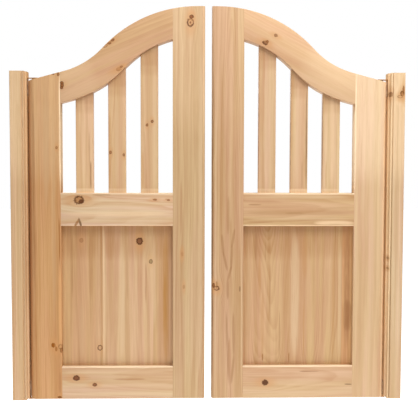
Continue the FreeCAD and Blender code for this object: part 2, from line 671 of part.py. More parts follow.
def leaf_half():
    """Every node of the left half but the panel, by the name it has in its half."""
    slat_names = [f"slat_{number}" for number in range(1, int(sizes.slat_count) + 1)]
    nodes = {name: slat(f"left_{name}", number) for number, name in enumerate(slat_names, 1)}
    slats = doc.addObject("Part::Compound", "slat_set")
    slats.Links = list(nodes.values())
    middle = straight_rail("middle_rail_blank", "Layout.middle_rail_low",
                           MIDDLE_TENON, "Layout.middle_rail_low")
    nodes["arched_top_rail"] = housed("left_arched_top_rail", arch_blank("arch_blank"), slats)
    nodes["middle_rail"] = housed("left_middle_rail", middle, slats)
    nodes["bottom_rail"] = straight_rail("left_bottom_rail", "0", BOTTOM_TENON,
                                         "Sizes.rail_height - Sizes.groove_depth")
    for name, make in (("hinge_stile", hinge_stile), ("meeting_stile", meeting_stile),
                       ("jamb_strip", jamb_strip), ("top_pivot_pin", top_pivot_pin),
                       ("top_bush", top_bush), ("pivot_spindle", pivot_spindle),
                       ("thrust_washer", thrust_washer), ("spring_barrel", spring_barrel),
                       ("torsion_spring", torsion_spring)):
        nodes[name] = make(f"left_{name}")
    nodes["top_bracket"] = bracket("left_top_bracket", UPPER_LEG_Z, "Layout.top_arm_z")
    nodes["bottom_bracket"] = bracket("left_bottom_bracket", LOWER_LEG_Z, "-Layout.base_height")
    return nodes


def mirrored(label, source):
    """The same piece of the right half."""
    twin = doc.addObject("Part::Mirroring", label)
    twin.Label = label
    twin.Source = source
    twin.Normal = (1, 0, 0)
    return twin


def write_parts(nodes):
    """Check every object, then write one STEP file for each node."""
    for item in doc.Objects:
        if "Invalid" in item.State or "Error" in item.State:
            raise ValueError(f"{item.Label} did not recompute: {item.State}")
    for node in nodes:
        shape = node.Shape
        if shape.isNull() or not shape.isValid() or not shape.Solids:
            raise ValueError(f"{node.Label} has no valid solid")
    os.makedirs("parts", exist_ok=True)
    for node in nodes:
        node.Shape.exportStep(os.path.join("parts", f"{node.Label}.step"))
        print(node.Label, len(node.Shape.Solids), round(node.Shape.Volume, 1))


half = leaf_half()
nodes = list(half.values()) + panel("left")
nodes += [mirrored(f"right_{name}", source) for name, source in half.items()]
for number, blank in enumerate(panel("right", "_blank"), 1):
    nodes.append(mirrored(f"right_panel_board_{number}", blank))
doc.recompute()
write_parts(nodes)
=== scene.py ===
import math

import bmesh
import bpy
from mathutils import Matrix, Vector


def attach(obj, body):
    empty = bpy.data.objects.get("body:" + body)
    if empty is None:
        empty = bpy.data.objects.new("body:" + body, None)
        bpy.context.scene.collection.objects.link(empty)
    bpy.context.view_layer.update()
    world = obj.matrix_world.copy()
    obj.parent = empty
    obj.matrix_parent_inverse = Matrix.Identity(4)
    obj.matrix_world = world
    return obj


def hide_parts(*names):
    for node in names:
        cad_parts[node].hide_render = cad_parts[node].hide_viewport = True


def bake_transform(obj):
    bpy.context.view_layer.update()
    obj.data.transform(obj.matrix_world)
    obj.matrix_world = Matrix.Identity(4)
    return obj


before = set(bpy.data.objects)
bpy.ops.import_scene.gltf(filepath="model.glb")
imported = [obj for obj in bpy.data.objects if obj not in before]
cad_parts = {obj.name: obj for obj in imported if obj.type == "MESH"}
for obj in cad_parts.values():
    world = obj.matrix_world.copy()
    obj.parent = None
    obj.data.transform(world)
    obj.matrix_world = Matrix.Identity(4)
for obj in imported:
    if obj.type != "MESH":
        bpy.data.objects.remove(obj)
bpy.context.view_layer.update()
mm = 0.001
smoothAngle = math.radians(30)     # gentler edges than this look round
facing = 0.9                       # how nearly a normal or an edge has to point one way


def srgb(red, green, blue):
    # a colour as a paint chart gives it, 0 to 255
    levels = []
    for level in (red, green, blue):
        share = level / 255
        levels.append(share / 12.92 if share <= 0.04045 else ((share + 0.055) / 1.055) ** 2.4)
    return (levels[0], levels[1], levels[2], 1.0)


# small helpers for shader trees

def addNode(tree, kind, inputs=None, **settings):
    made = tree.nodes.new(kind)
    for name, value in settings.items():
        setattr(made, name, value)
    for key, value in (inputs or {}).items():
        if isinstance(value, bpy.types.NodeSocket):
            tree.links.new(value, made.inputs[key])
        else:
            made.inputs[key].default_value = value
    return made


def maths(tree, operation, *values):
    made = addNode(tree, "ShaderNodeMath", dict(enumerate(values)), operation=operation)
    return made.outputs[0]


def mapRange(tree, value, fromMin, fromMax, toMin=0.0, toMax=1.0):
    # eased at both ends
    made = addNode(tree, "ShaderNodeMapRange", {0: value, 1: fromMin, 2: fromMax, 3: toMin, 4: toMax},
                   interpolation_type="SMOOTHSTEP")
    return made.outputs[0]


def mixColour(tree, factor, first, second, style="MIX"):
    made = addNode(tree, "ShaderNodeMix", {0: factor, 6: first, 7: second},
                   data_type="RGBA", blend_type=style)
    return made.outputs[2]


def noise(tree, point, scale, detail=2.0, roughness=0.5, output=0):
    # scale says how fine it is in each direction, per metre
    stretched = addNode(tree, "ShaderNodeVectorMath", {0: point, 1: scale},
                        operation="MULTIPLY").outputs[0]
    made = addNode(tree, "ShaderNodeTexNoise", {"Vector": stretched, "Scale": 1.0, "Detail": detail,
                                                "Roughness": roughness})
    return made.outputs[output]


def apart(tree, vector):
    return addNode(tree, "ShaderNodeSeparateXYZ", {0: vector}).outputs


def lengthOf(tree, first, second):
    square = maths(tree, "MULTIPLY", second, second)
    return maths(tree, "SQRT", maths(tree, "MULTIPLY_ADD", first, first, square))


def newGroup(name, numbers, outputs):
    # a shared effect: a point and some numbers go in, masks and values come out
    tree = bpy.data.node_groups.new(name, "ShaderNodeTree")
    tree.interface.new_socket(name="Point", in_out="INPUT", socket_type="NodeSocketVector")
    for label in numbers:
        tree.interface.new_socket(name=label, in_out="INPUT", socket_type="NodeSocketFloat")
    for label in outputs:
        tree.interface.new_socket(name=label, in_out="OUTPUT", socket_type="NodeSocketFloat")
    return tree, tree.nodes.new("NodeGroupInput").outputs, tree.nodes.new("NodeGroupOutput").inputs


def useGroup(tree, group, inputs):
    return addNode(tree, "ShaderNodeGroup", inputs, node_tree=group).outputs


# shared effects

grainNoises = {     # how fine along, across and into the board, then detail and roughness
    "Fibre": {"noise": ((16, 520, 520), 3.0, 0.6), "range": (0.32, 0.68)},
    "Tone": {"noise": ((1.3, 62, 62), 2.5, 0.6), "range": (0.33, 0.67)},
    "Blush": {"noise": ((2.2, 38, 38), 2.0, 0.55), "range": (0.36, 0.64)},
}
ringShape = {
    "wander": ((2.6, 13, 13), 1.5, 0.45),
    "jitter": ((7, 70, 70), 2.0), "jitterRings": 0.7,
    "seasonsPerMetre": 55.0, "seasonRings": 2.6,
    "darkens": (0.15, 0.82), "pales": (0.86, 1.0),      # shares of a ring's width
    "faintest": 0.25,
}
metalNoises = {
    "Patches": {"noise": ((120, 120, 120), 3.0, 0.55), "range": (0.35, 0.65)},
    "Scratches": {"noise": ((60, 900, 1400), 2.0, 0.7), "range": (0.55, 0.72)},
}


def addNoises(tree, point, noises, wanted):
    for name, look in noises.items():
        value = noise(tree, point, *look["noise"])
        tree.links.new(mapRange(tree, value, *look["range"]), wanted[name])


def makeGrainGroup():
    # growth rings about a pith line that runs along the board, cut by its faces
    tree, given, wanted = newGroup("pineGrain", (
        "Bend", "Pith Across", "Pith Depth", "Climb", "Ring Width", "Waviness", "Shift"),
        ("Rings", "Fibre", "Tone", "Blush"))
    shift = addNode(tree, "ShaderNodeCombineXYZ", {axis: given["Shift"] for axis in range(3)})
    moved = addNode(tree, "ShaderNodeVectorMath", {0: given["Point"], 1: shift.outputs[0]}).outputs[0]
    parts = apart(tree, given["Point"])
    wander = noise(tree, moved, *ringShape["wander"], output=1)
    wander = addNode(tree, "ShaderNodeSeparateColor", {0: wander}).outputs
    # noise lies about 0.5, so that comes off and the rest is doubled
    sideways = maths(tree, "MULTIPLY", maths(tree, "SUBTRACT", wander[0], 0.5), given["Waviness"])
    inwards = maths(tree, "MULTIPLY", maths(tree, "SUBTRACT", wander[1], 0.5), given["Waviness"])
    across = maths(tree, "ADD", maths(tree, "SUBTRACT", parts[1], given["Pith Across"]),
                   maths(tree, "MULTIPLY_ADD", sideways, 2.0, given["Bend"]))
    climbed = maths(tree, "MULTIPLY_ADD", parts[0], given["Climb"], given["Pith Depth"])
    depth = maths(tree, "ADD", parts[2], climbed)
    depth = maths(tree, "ADD", depth, maths(tree, "MULTIPLY", inwards, 2.0))
    radius = lengthOf(tree, across, depth)
    jitter = maths(tree, "SUBTRACT", noise(tree, moved, *ringShape["jitter"]), 0.5)
    seasons = addNode(tree, "ShaderNodeTexNoise", {
        "W": maths(tree, "MULTIPLY_ADD", radius, ringShape["seasonsPerMetre"], given["Shift"]),
        "Detail": 1.0, "Scale": 1.0}, noise_dimensions="1D").outputs[0]
    count = maths(tree, "DIVIDE", radius, given["Ring Width"])
    count = maths(tree, "MULTIPLY_ADD", jitter, ringShape["jitterRings"], count)
    count = maths(tree, "MULTIPLY_ADD", seasons, ringShape["seasonRings"], count)
    share = maths(tree, "FRACT", count)
    late = maths(tree, "MULTIPLY", mapRange(tree, share, *ringShape["darkens"]),
                 mapRange(tree, share, *ringShape["pales"], 1.0, 0.0))
    year = maths(tree, "ADD", maths(tree, "FLOOR", count), given["Shift"])
    own = addNode(tree, "ShaderNodeTexWhiteNoise", {"W": year}, noise_dimensions="1D").outputs[0]
    strength = maths(tree, "MULTIPLY_ADD", own, 1 - ringShape["faintest"], ringShape["faintest"])
    tree.links.new(maths(tree, "MULTIPLY", late, strength), wanted["Rings"])
    addNoises(tree, moved, grainNoises, wanted)
    return tree


knotShape = {     # in knot radii, where it isn't a share
    "edge": ((260, 260, 60), 2.0, 0.6), "ragged": 0.9,
    "core": (1.1, 0.75), "barkAt": 0.88, "bark": (0.34, 0.08),
    "haloStretch": 0.5, "halo": (2.6, 0.7), "pullReach": 4.5, "pull": 0.85,
    "ends": 0.003,     # metres over which it fades at its back
}


def makeKnotGroup():
    # one branch cut across: a dark bark ring, brown wood in it, and rings that bulge round it
    tree, given, wanted = newGroup("pineKnot", ("Along", "Across", "Radius", "Stretch", "Back"),
                                   ("Core", "Bark", "Halo", "Bend"))
    parts = apart(tree, given["Point"])
    along = maths(tree, "DIVIDE", maths(tree, "SUBTRACT", parts[0], given["Along"]), given["Stretch"])
    across = maths(tree, "SUBTRACT", parts[1], given["Across"])
    ragged = maths(tree, "SUBTRACT", noise(tree, given["Point"], *knotShape["edge"]), 0.5)
    far = maths(tree, "DIVIDE", lengthOf(tree, along, across), given["Radius"])
    far = maths(tree, "MULTIPLY_ADD", ragged, knotShape["ragged"], far)
    depth = maths(tree, "SUBTRACT", parts[2], given["Back"])
    there = mapRange(tree, depth, -knotShape["ends"], knotShape["ends"])
    core = mapRange(tree, far, *knotShape["core"])
    tree.links.new(maths(tree, "MULTIPLY", core, there), wanted["Core"])
    band = maths(tree, "ABSOLUTE", maths(tree, "SUBTRACT", far, knotShape["barkAt"]))
    bark = mapRange(tree, band, *knotShape["bark"])
    tree.links.new(maths(tree, "MULTIPLY", bark, there), wanted["Bark"])
    wide = lengthOf(tree, maths(tree, "MULTIPLY", along, knotShape["haloStretch"]), across)
    wide = maths(tree, "DIVIDE", wide, given["Radius"])
    tree.links.new(mapRange(tree, wide, *knotShape["halo"]), wanted["Halo"])
    pull = mapRange(tree, wide, 0.0, knotShape["pullReach"], -knotShape["pull"], 0.0)
    tree.links.new(maths(tree, "MULTIPLY", across, pull), wanted["Bend"])
    return tree


streakShape = {"swing": ((14, 8, 8), 1.0), "ends": 4.0, "fade": (1.2, 0.0),
               "fibre": ((22, 420, 420), 2.0), "fibreRange": (0.2, 0.6), "faintest": 0.55}


def makeStreakGroup():
    # a long soft mark that follows the grain: heartwood, resin, a dark year, and also painted light and
    # shade along edges, ends and under rails
    tree, given, wanted = newGroup("pineStreak", ("Along", "Across", "Length", "Width", "Lean", "Wander"),
                                   ("Mask",))
    parts = apart(tree, given["Point"])
    along = maths(tree, "SUBTRACT", parts[0], given["Along"])
    swing = maths(tree, "SUBTRACT", noise(tree, given["Point"], *streakShape["swing"]), 0.5)
    centre = maths(tree, "MULTIPLY_ADD", along, given["Lean"], given["Across"])
    swayed = maths(tree, "MULTIPLY_ADD", swing, given["Wander"], centre)
    across = maths(tree, "SUBTRACT", parts[1], swayed)
    toEnd = maths(tree, "DIVIDE", maths(tree, "MULTIPLY", along, 2.0), given["Length"])
    toSide = maths(tree, "DIVIDE", maths(tree, "MULTIPLY", across, 2.0), given["Width"])
    toEnd = maths(tree, "POWER", maths(tree, "ABSOLUTE", toEnd), streakShape["ends"])
    mask = mapRange(tree, maths(tree, "MULTIPLY_ADD", toSide, toSide, toEnd), *streakShape["fade"])
    fibre = noise(tree, given["Point"], *streakShape["fibre"])
    fibre = mapRange(tree, fibre, *streakShape["fibreRange"], streakShape["faintest"], 1.0)
    tree.links.new(maths(tree, "MULTIPLY", mask, fibre), wanted["Mask"])
    return tree


def makeMetalWearGroup():
    # handling marks on small metal parts
    tree, given, wanted = newGroup("metalWear", (), ("Patches", "Scratches"))
    addNoises(tree, given["Point"], metalNoises, wanted)
    return tree


grainGroup = makeGrainGroup()
knotGroup = makeKnotGroup()
streakGroup = makeStreakGroup()
metalWearGroup = makeMetalWearGroup()
print("shared effects made")


# pine

# tones for the marks; light and cream also paint highlights and lit ends, and shade paints the shade
# under the rails
woodColours = {
    "walnut": (110, 76, 40), "shade": (149, 96, 40), "umber": (150, 103, 62), "brown": (157, 112, 70),
    "resin": (176, 125, 62), "russet": (169, 120, 79), "amber": (185, 136, 85), "tan": (181, 141, 99),
    "sand": (197, 161, 121), "honey": (226, 174, 118), "straw": (211, 180, 143), "wheat": (229, 198, 158),
    "cream": (250, 219, 177), "light": (254, 228, 191),
}
pineBasics = {     # what a board has where it says nothing else; lengths in metres
    "sunny": (253, 251, 238), "blush": (255, 245, 247), "hueShare": 0.8,
    "rings": 0.34, "fibre": 0.16, "tone": 0.42, "pithDepth": 0.06, "waviness": 0.006,
    "knots": [], "halo": (200, 146, 94), "core": (130, 74, 28), "bark": (88, 46, 12),
    "gloss": 0.25, "roughness": 0.45, "fibreRoughness": 0.1,
    "ringRelief": 0.5, "fibreRelief": -0.5, "reliefStrength": 0.12, "reliefDepth": 0.0004,
}


throughBoard = -1000      # mm, deeper than any board, so a knot shows on both faces


def knot(x, z, radius, stretch=1.2, fill=0.7, dark=0.9, halo=0.45, core=None, bark=None,
         back=throughBoard):
    # sizes in mm; fill, dark and halo are the shares of its wood, its bark and the tint round it;
    # back says how far in front of the board's middle it ends
    return {"at": (x, z), "radius": radius, "stretch": stretch, "fill": fill, "dark": dark, "halo": halo,
            "core": core, "bark": bark, "back": back}


def streak(x, z, length, width, colour, share, lean=0.0, wander=3.0):
    # sizes in mm, about its middle; share is how much it colours the wood
    return {"at": (x, z), "length": length, "width": width, "colour": colour, "share": share,
            "lean": lean, "wander": wander}


wholeLength = 1400      # mm, past both ends of any board
acrossBoard = 300       # mm, past both edges of a slat
# where painted shade lies under the rails and arches, and painted light at the slats' feet
paintedRailShade = {"z": 476, "near": 60, "far": 190, "width": 500}
paintedArchShadow = {"near": 46, "far": 100, "width": acrossBoard, "share": 0.3}
paintedFootLight = {"z": 570, "length": 22, "width": acrossBoard}
figure = {"width": 8.5, "colour": "umber", "share": 0.5, "wander": 1}


def paintedShadeUnderRail(x, near, far):
    # painted shade: a panel's top darkens towards the rail above it, as in the rail's shadow
    return [streak(x, paintedRailShade["z"], paintedRailShade["near"], paintedRailShade["width"], "shade", near),
            streak(x, paintedRailShade["z"], paintedRailShade["far"], paintedRailShade["width"], "shade", far)]


def paintedShadowUnderArch(x, z):
    # painted shadow: a slat's top darkens towards the arched rail above it
    return [streak(x, z, paintedArchShadow["near"], paintedArchShadow["width"], "russet", paintedArchShadow["share"]),
            streak(x, z, paintedArchShadow["far"], paintedArchShadow["width"], "russet", paintedArchShadow["share"])]


def paintedLightAtFoot(x, share):
    # painted light: a slat's foot is lightened just above the rail below it
    return streak(x, paintedFootLight["z"], paintedFootLight["length"], paintedFootLight["width"], "cream", share)


def figureArm(x, z, length, lean):
    # one side of an arch of rings, where a board is cut close to its pith
    return streak(x, z, length, figure["width"], figure["colour"], figure["share"], lean=lean,
                  wander=figure["wander"])


def pineMaterial(piece):
    # each board has its own angle of grain, tones, rings and pith, and its shift picks other noise
    look = {**pineBasics, **piece}
    material = bpy.data.materials.new(look["node"] + "_pine")
    material.use_nodes = True
    tree = material.node_tree
    shader = tree.nodes["Principled BSDF"]
    angle = math.radians(look["angle"])
    alongGrain = (math.cos(angle), 0, math.sin(angle))
    acrossGrain = (-math.sin(angle), 0, math.cos(angle))
    turn = Matrix((alongGrain, acrossGrain, (0, -1, 0)))
    centre = Vector((look["centre"][0] * mm, 0, look["centre"][1] * mm))
    place = addNode(tree, "ShaderNodeTexCoord").outputs["Object"]
    point = addNode(tree, "ShaderNodeMapping", {
        "Vector": place, "Location": -(turn @ centre), "Rotation": turn.to_euler()}).outputs[0]

    def inGrain(x, z):
        return turn @ (Vector((x * mm, 0, z * mm)) - centre)

    bend = 0.0
    knots = []
    for mark in look["knots"]:
        spot = inGrain(*mark["at"])
        made = useGroup(tree, knotGroup, {"Point": point, "Along": spot[0], "Across": spot[1],
                                          "Radius": mark["radius"] * mm, "Stretch": mark["stretch"],
                                          "Back": mark["back"] * mm})
        knots.append((mark, made))
        bend = maths(tree, "ADD", made["Bend"], bend)
    grain = useGroup(tree, grainGroup, {
        "Point": point, "Bend": bend, "Pith Across": look["pithAcross"], "Pith Depth": look["pithDepth"],
        "Climb": look["climb"], "Ring Width": look["ringWidth"], "Waviness": look["waviness"],
        "Shift": look["shift"]})
    share = maths(tree, "MULTIPLY", grain["Rings"], look["rings"])
    share = maths(tree, "MULTIPLY_ADD", grain["Fibre"], look["fibre"], share)
    share = maths(tree, "MULTIPLY_ADD", grain["Tone"], look["tone"], share)
    colour = mixColour(tree, share, srgb(*look["pale"]), srgb(*look["deep"]))
    hue = mixColour(tree, grain["Blush"], srgb(*look["sunny"]), srgb(*look["blush"]))
    colour = mixColour(tree, look["hueShare"], colour, hue, "MULTIPLY")
    for mark in look["streaks"]:
        spot = inGrain(*mark["at"])
        mask = useGroup(tree, streakGroup, {
            "Point": point, "Along": spot[0], "Across": spot[1], "Length": mark["length"] * mm,
            "Width": mark["width"] * mm, "Lean": mark["lean"], "Wander": mark["wander"] * mm})["Mask"]
        colour = mixColour(tree, maths(tree, "MULTIPLY", mask, mark["share"]), colour,
                           srgb(*woodColours[mark["colour"]]))
    for mark, made in knots:
        for output, strength, paint in (("Halo", "halo", look["halo"]),
                                        ("Core", "fill", mark["core"] or look["core"]),
                                        ("Bark", "dark", mark["bark"] or look["bark"])):
            mask = maths(tree, "MULTIPLY", made[output], mark[strength])
            colour = mixColour(tree, mask, colour, srgb(*paint))
    tree.links.new(colour, shader.inputs["Base Color"])
    rough = maths(tree, "MULTIPLY_ADD", grain["Fibre"], look["fibreRoughness"], look["roughness"])
    tree.links.new(rough, shader.inputs["Roughness"])
    relief = maths(tree, "MULTIPLY_ADD", grain["Rings"], look["ringRelief"],
                   maths(tree, "MULTIPLY", grain["Fibre"], look["fibreRelief"]))
    bump = addNode(tree, "ShaderNodeBump", {"Height": relief, "Strength": look["reliefStrength"],
                                            "Distance": look["reliefDepth"]})
    tree.links.new(bump.outputs[0], shader.inputs["Normal"])
    shader.inputs["Specular IOR Level"].default_value = look["gloss"]
    return material


def putMaterial(piece, material):
    piece.data.materials.clear()
    piece.data.materials.append(material)


def selectNothing():
    if bpy.context.object and bpy.context.object.mode != "OBJECT":
        bpy.ops.object.mode_set(mode="OBJECT")
    bpy.ops.object.select_all(action="DESELECT")


def makeActive(piece):
    selectNothing()
    piece.select_set(True)
    bpy.context.view_layer.objects.active = piece


def makeSmooth(piece):
    makeActive(piece)
    bpy.ops.object.shade_smooth_by_angle(angle=smoothAngle)


cleaning = {"mergeWithin": 0.000004, "flatWithin": math.radians(0.5)}


def cleanCopy(node, ending):
    # a CAD piece's mesh again, its faces joined up, left open in edit mode
    piece = bpy.data.objects.new(node + ending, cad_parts[node].data.copy())
    bpy.context.scene.collection.objects.link(piece)
    makeActive(piece)
    bpy.ops.object.mode_set(mode="EDIT")
    bpy.ops.mesh.select_all(action="SELECT")
    bpy.ops.mesh.remove_doubles(threshold=cleaning["mergeWithin"])
    bpy.ops.mesh.dissolve_limited(angle_limit=cleaning["flatWithin"])
    return piece


easing = {     # how far each kind of arris is sanded, and where it lies, in mm
    "long": 1.3, "joint": 0.35, "segments": 3, "faceY": 17.5, "faceWithin": 0.02, "jointWithin": 0.05,
    "sharp": math.radians(35)}


def selectEdges(piece, wanted):
    # wanted(middle, direction) says whether a sharp edge is taken
    mesh = bmesh.from_edit_mesh(piece.data)
    for face in mesh.faces:
        face.select = False
    for edge in mesh.edges:
        edge.select = False
    count = 0
    for edge in mesh.edges:
        if len(edge.link_faces) != 2 or edge.calc_face_angle(0) < easing["sharp"]:
            continue
        middle = (edge.verts[0].co + edge.verts[1].co) / 2
        along = (edge.verts[1].co - edge.verts[0].co).normalized()
        if wanted(middle, along):
            edge.select = True
            count += 1
    mesh.select_flush_mode()
    bmesh.update_edit_mesh(piece.data)
    return count


def easedPiece(look):
    # the CAD piece again, with its outer arrises sanded
    piece = cleanCopy(look["node"], "_eased")

    def onFace(middle):
        return abs(abs(middle.y) - easing["faceY"] * mm) < easing["faceWithin"] * mm

    def isJoint(middle, along):
        near = any(abs(middle.x - x * mm) < easing["jointWithin"] * mm for x in look["joints"])
        return near and abs(along.z) > facing

    if selectEdges(piece, lambda middle, along: onFace(middle) and isJoint(middle, along)):
        bpy.ops.mesh.bevel(offset=easing["joint"] * mm, segments=1, affect="EDGES")
    if selectEdges(piece, lambda middle, along: onFace(middle) and not isJoint(middle, along)):
        bpy.ops.mesh.bevel(offset=easing["long"] * mm, segments=easing["segments"], affect="EDGES")
    makeSmooth(piece)
    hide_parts(look["node"])
    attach(piece, look["body"])
    putMaterial(piece, pineMaterial(look))


def dressNode(look):
    putMaterial(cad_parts[look["node"]], pineMaterial(look))


hingeJoint = 399        # mm from the middle, where the rails meet the hinge stile
meetingJoint = 95.75    # and the meeting stile
leftStiles = {"body": "left_leaf", "slot": "pine", "angle": 90}
leftRails = {"body": "left_leaf", "slot": "pine", "angle": 0, "ringWidth": 0.008,
             "joints": [-hingeJoint, -meetingJoint]}
rightStiles = {"body": "right_leaf", "slot": "pine", "angle": 90}
rightRails = {"body": "right_leaf", "slot": "pine", "angle": 0, "ringWidth": 0.008,
              "joints": [meetingJoint, hingeJoint]}


# left leaf: x from the middle of the pair, z from the foot of the leaves

leftHingeStile = {
    **leftStiles, "node": "left_hinge_stile", "centre": (-442, 430), "joints": [-hingeJoint],
    "shift": 1.3, "pale": (208, 165, 119), "deep": (174, 122, 76), "hueShare": 0.5, "gloss": 0.0,
    "rings": 0.26, "ringWidth": 0.006, "climb": 0.012, "pithAcross": 0.09, "pithDepth": 0.03,
    "knots": [
        knot(-409, 690, 3.2, fill=0.5, dark=0.4),
        # a star of four branches
        knot(-422, 152, 6, stretch=1.1, fill=0.95, dark=0.1, core=(144, 84, 32)),
        knot(-414, 142, 3.4, stretch=2.0, fill=0.7, dark=0.1, core=(150, 92, 42)),
        knot(-403, 148, 5, stretch=1.3, fill=0.05, dark=0.45, halo=0.2),
        knot(-401, 138, 3, stretch=2.2, fill=0.6, dark=0.5, halo=0.2),
        knot(-406, 8, 5, stretch=0.6, fill=0.8, dark=0.6),
        knot(-417, 887, 3.8, stretch=0.5, fill=0.85, dark=0.6, halo=0.2),
        knot(-403, 886, 3.4, stretch=1.3, fill=0.7, dark=0.5, halo=0.2)],
    "streaks": [
        # painted light: the top of the stile is lightened, as light falls from above
        streak(-442, 850, 520, 300, "wheat", 0.3),
        # painted light: the bull-nose in the shaded hinge gap is lightened and warmed
        streak(-485, 435, wholeLength, 7, "honey", 0.5, wander=0.3),
        streak(-471, 567, 581, 8.2, "brown", 0.5),
        streak(-457, 492, 597, 8.2, "amber", 0.45),
        streak(-403, 442, 122, 4.4, "shade", 0.75),
        # painted highlight along the stile's inner edge beside the panel
        streak(-403, 260, 250, 9, "honey", 0.6, wander=0.5),
        streak(-405, 49, 64, 8.2, "russet", 0.5),
        streak(-437, 696, 349, 19, "sand", 0.5),
        streak(-418, 506, 624, 13.6, "sand", 0.4),
        # painted highlight along the stile's inner edge beside the slats
        streak(-399, 735, 350, 8, "light", 0.85, wander=0.3)],
}
leftMeetingStile = {
    **leftStiles, "node": "left_meeting_stile", "centre": (-52, 530), "joints": [-meetingJoint],
    "shift": 2.9, "pale": (204, 176, 137), "deep": (174, 132, 90), "hueShare": 0.5, "ringWidth": 0.007,
    "climb": 0.014, "pithAcross": -0.05, "pithDepth": 0.05,
    "knots": [
        # a ring with a smaller knot on top
        knot(-49, 1026, 9, stretch=1.2, fill=0.15, dark=0.95),
        knot(-46, 1041.5, 5.6, stretch=0.9, fill=0.95, dark=0.85),
        knot(-49, 1026, 2.2, dark=0.8),
        knot(-71, 402, 4, stretch=1.6, fill=0.2, dark=0.0),
        knot(-66, 312, 3, stretch=2.0, fill=0.3, dark=0.1)],
    "streaks": [
        # painted light: the top of the stile is lightened
        streak(-52, 1000, 560, 300, "cream", 0.14),
        streak(-74, 527, 152, 8.2, "russet", 0.45),
        streak(-61, 643, 352, 10.9, "tan", 0.35),
        # painted highlight on the rounded meeting edge
        streak(-21, 476, 900, 13.6, "straw", 0.5),
        streak(-96, 315, 577, 4.4, "tan", 0.5),
        streak(-71, 402, 22, 8.2, "russet", 0.5),
        streak(-44, 247, 386, 8.2, "straw", 0.4)],
}
leftArch = {
    **leftRails, "node": "left_arched_top_rail", "angle": 24, "centre": (-250, 940), "shift": 4.1,
    "pale": (206, 169, 131), "deep": (177, 131, 91), "tone": 0.3, "rings": 0.2, "ringWidth": 0.009,
    "climb": 0.04, "pithAcross": -0.03, "pithDepth": 0.05,
    "knots": [
        # three run into one at the joint
        knot(-393.5, 863, 4.6, stretch=1.0, fill=1.0, dark=0.9, halo=0.2),
        knot(-393.0, 857, 4.8, stretch=1.0, fill=1.0, dark=0.9, halo=0.2),
        knot(-394.5, 851, 4.2, stretch=1.0, fill=0.9, dark=0.7, halo=0.2),
        knot(-277, 962, 3.6, stretch=1.8, fill=0.2, dark=0.7, halo=0.1),
        knot(-266, 970, 3.4, stretch=1.6, fill=0.9, dark=0.7),
        knot(-257, 978, 3.2, stretch=1.6, fill=0.8, dark=0.7),
        knot(-241, 901, 5.5, stretch=1.5, fill=0.85, dark=0.0, halo=0.6, core=(164, 112, 68)),
        knot(-234, 907, 3.2, stretch=1.4, fill=0.9, dark=0.2, core=(150, 100, 58))],
    "streaks": [
        streak(-400, 860, 210, 260, "wheat", 0.25)],
}
leftMiddleRail = {
    **leftRails, "node": "left_middle_rail", "centre": (-247, 523), "shift": 5.3,
    "pale": (220, 196, 167), "deep": (193, 151, 113), "rings": 0.4, "climb": 0.05, "pithAcross": -0.02,
    "pithDepth": 0.04,
    "knots": [
        knot(-350, 549, 10.5, fill=0.65, dark=0.95, core=(156, 100, 44), bark=(84, 46, 10)),
        knot(-344, 545, 5.6, fill=0.95, dark=0.7, halo=0.1, core=(92, 48, 12)),
        knot(-144, 550, 3, stretch=1.8, dark=0.15),
        knot(-108, 549, 2.6, stretch=1.8, dark=0.15)],
    "streaks": [
        # painted highlight along the rail's lower arris
        streak(-247, 480, 420, 5, "cream", 0.4, wander=0.3),
        # an arrowhead at the lower edge
        streak(-356, 487, 15, 15, "shade", 0.85, lean=1.3, wander=0.5),
        streak(-347, 487, 10, 20, "walnut", 0.95, lean=-2.0, wander=0.5),
        streak(-288, 563, 54, 4.1, "brown", 0.75),
        streak(-146, 551, 14, 4.4, "brown", 0.8),
        streak(-111, 551, 14, 3.5, "brown", 0.7),
        streak(-250, 511, 292, 16.3, "wheat", 0.6),
        streak(-250, 536, 292, 13.6, "straw", 0.4),
        # painted highlight along the rail's top edge, lit from above
        streak(-247, 567.5, 420, 7, "light", 0.42, wander=0.2)],
}
leftBottomRail = {
    **leftRails, "node": "left_bottom_rail", "centre": (-247, 47), "shift": 6.7, "pale": (212, 185, 152),
    "deep": (184, 141, 101), "climb": -0.04, "pithAcross": 0.02, "pithDepth": 0.045,
    "knots": [
        knot(-360, 61, 7, stretch=1.25, fill=0.95, dark=0.85, core=(112, 62, 26), bark=(84, 40, 10)),
        knot(-310, 42, 4.8, fill=0.9, dark=0.8, core=(120, 68, 30), bark=(96, 50, 14))],
    "streaks": [
        # painted highlight along the rail's top arris, lit from above
        streak(-247, 92, 420, 7, "light", 0.9, wander=0.2),
        streak(-360, 62, 85, 4.1, "tan", 0.6),
        streak(-216, 57, 93, 6.5, "russet", 0.7),
        streak(-252, 77, 295, 10.9, "straw", 0.5),
        streak(-252, 17, 296, 8.2, "straw", 0.6),
        streak(-252, 41, 295, 13.6, "straw", 0.4)],
}
print("left leaf: frame pieces")
for look in (leftHingeStile, leftMeetingStile, leftArch, leftMiddleRail, leftBottomRail):
    easedPiece(look)

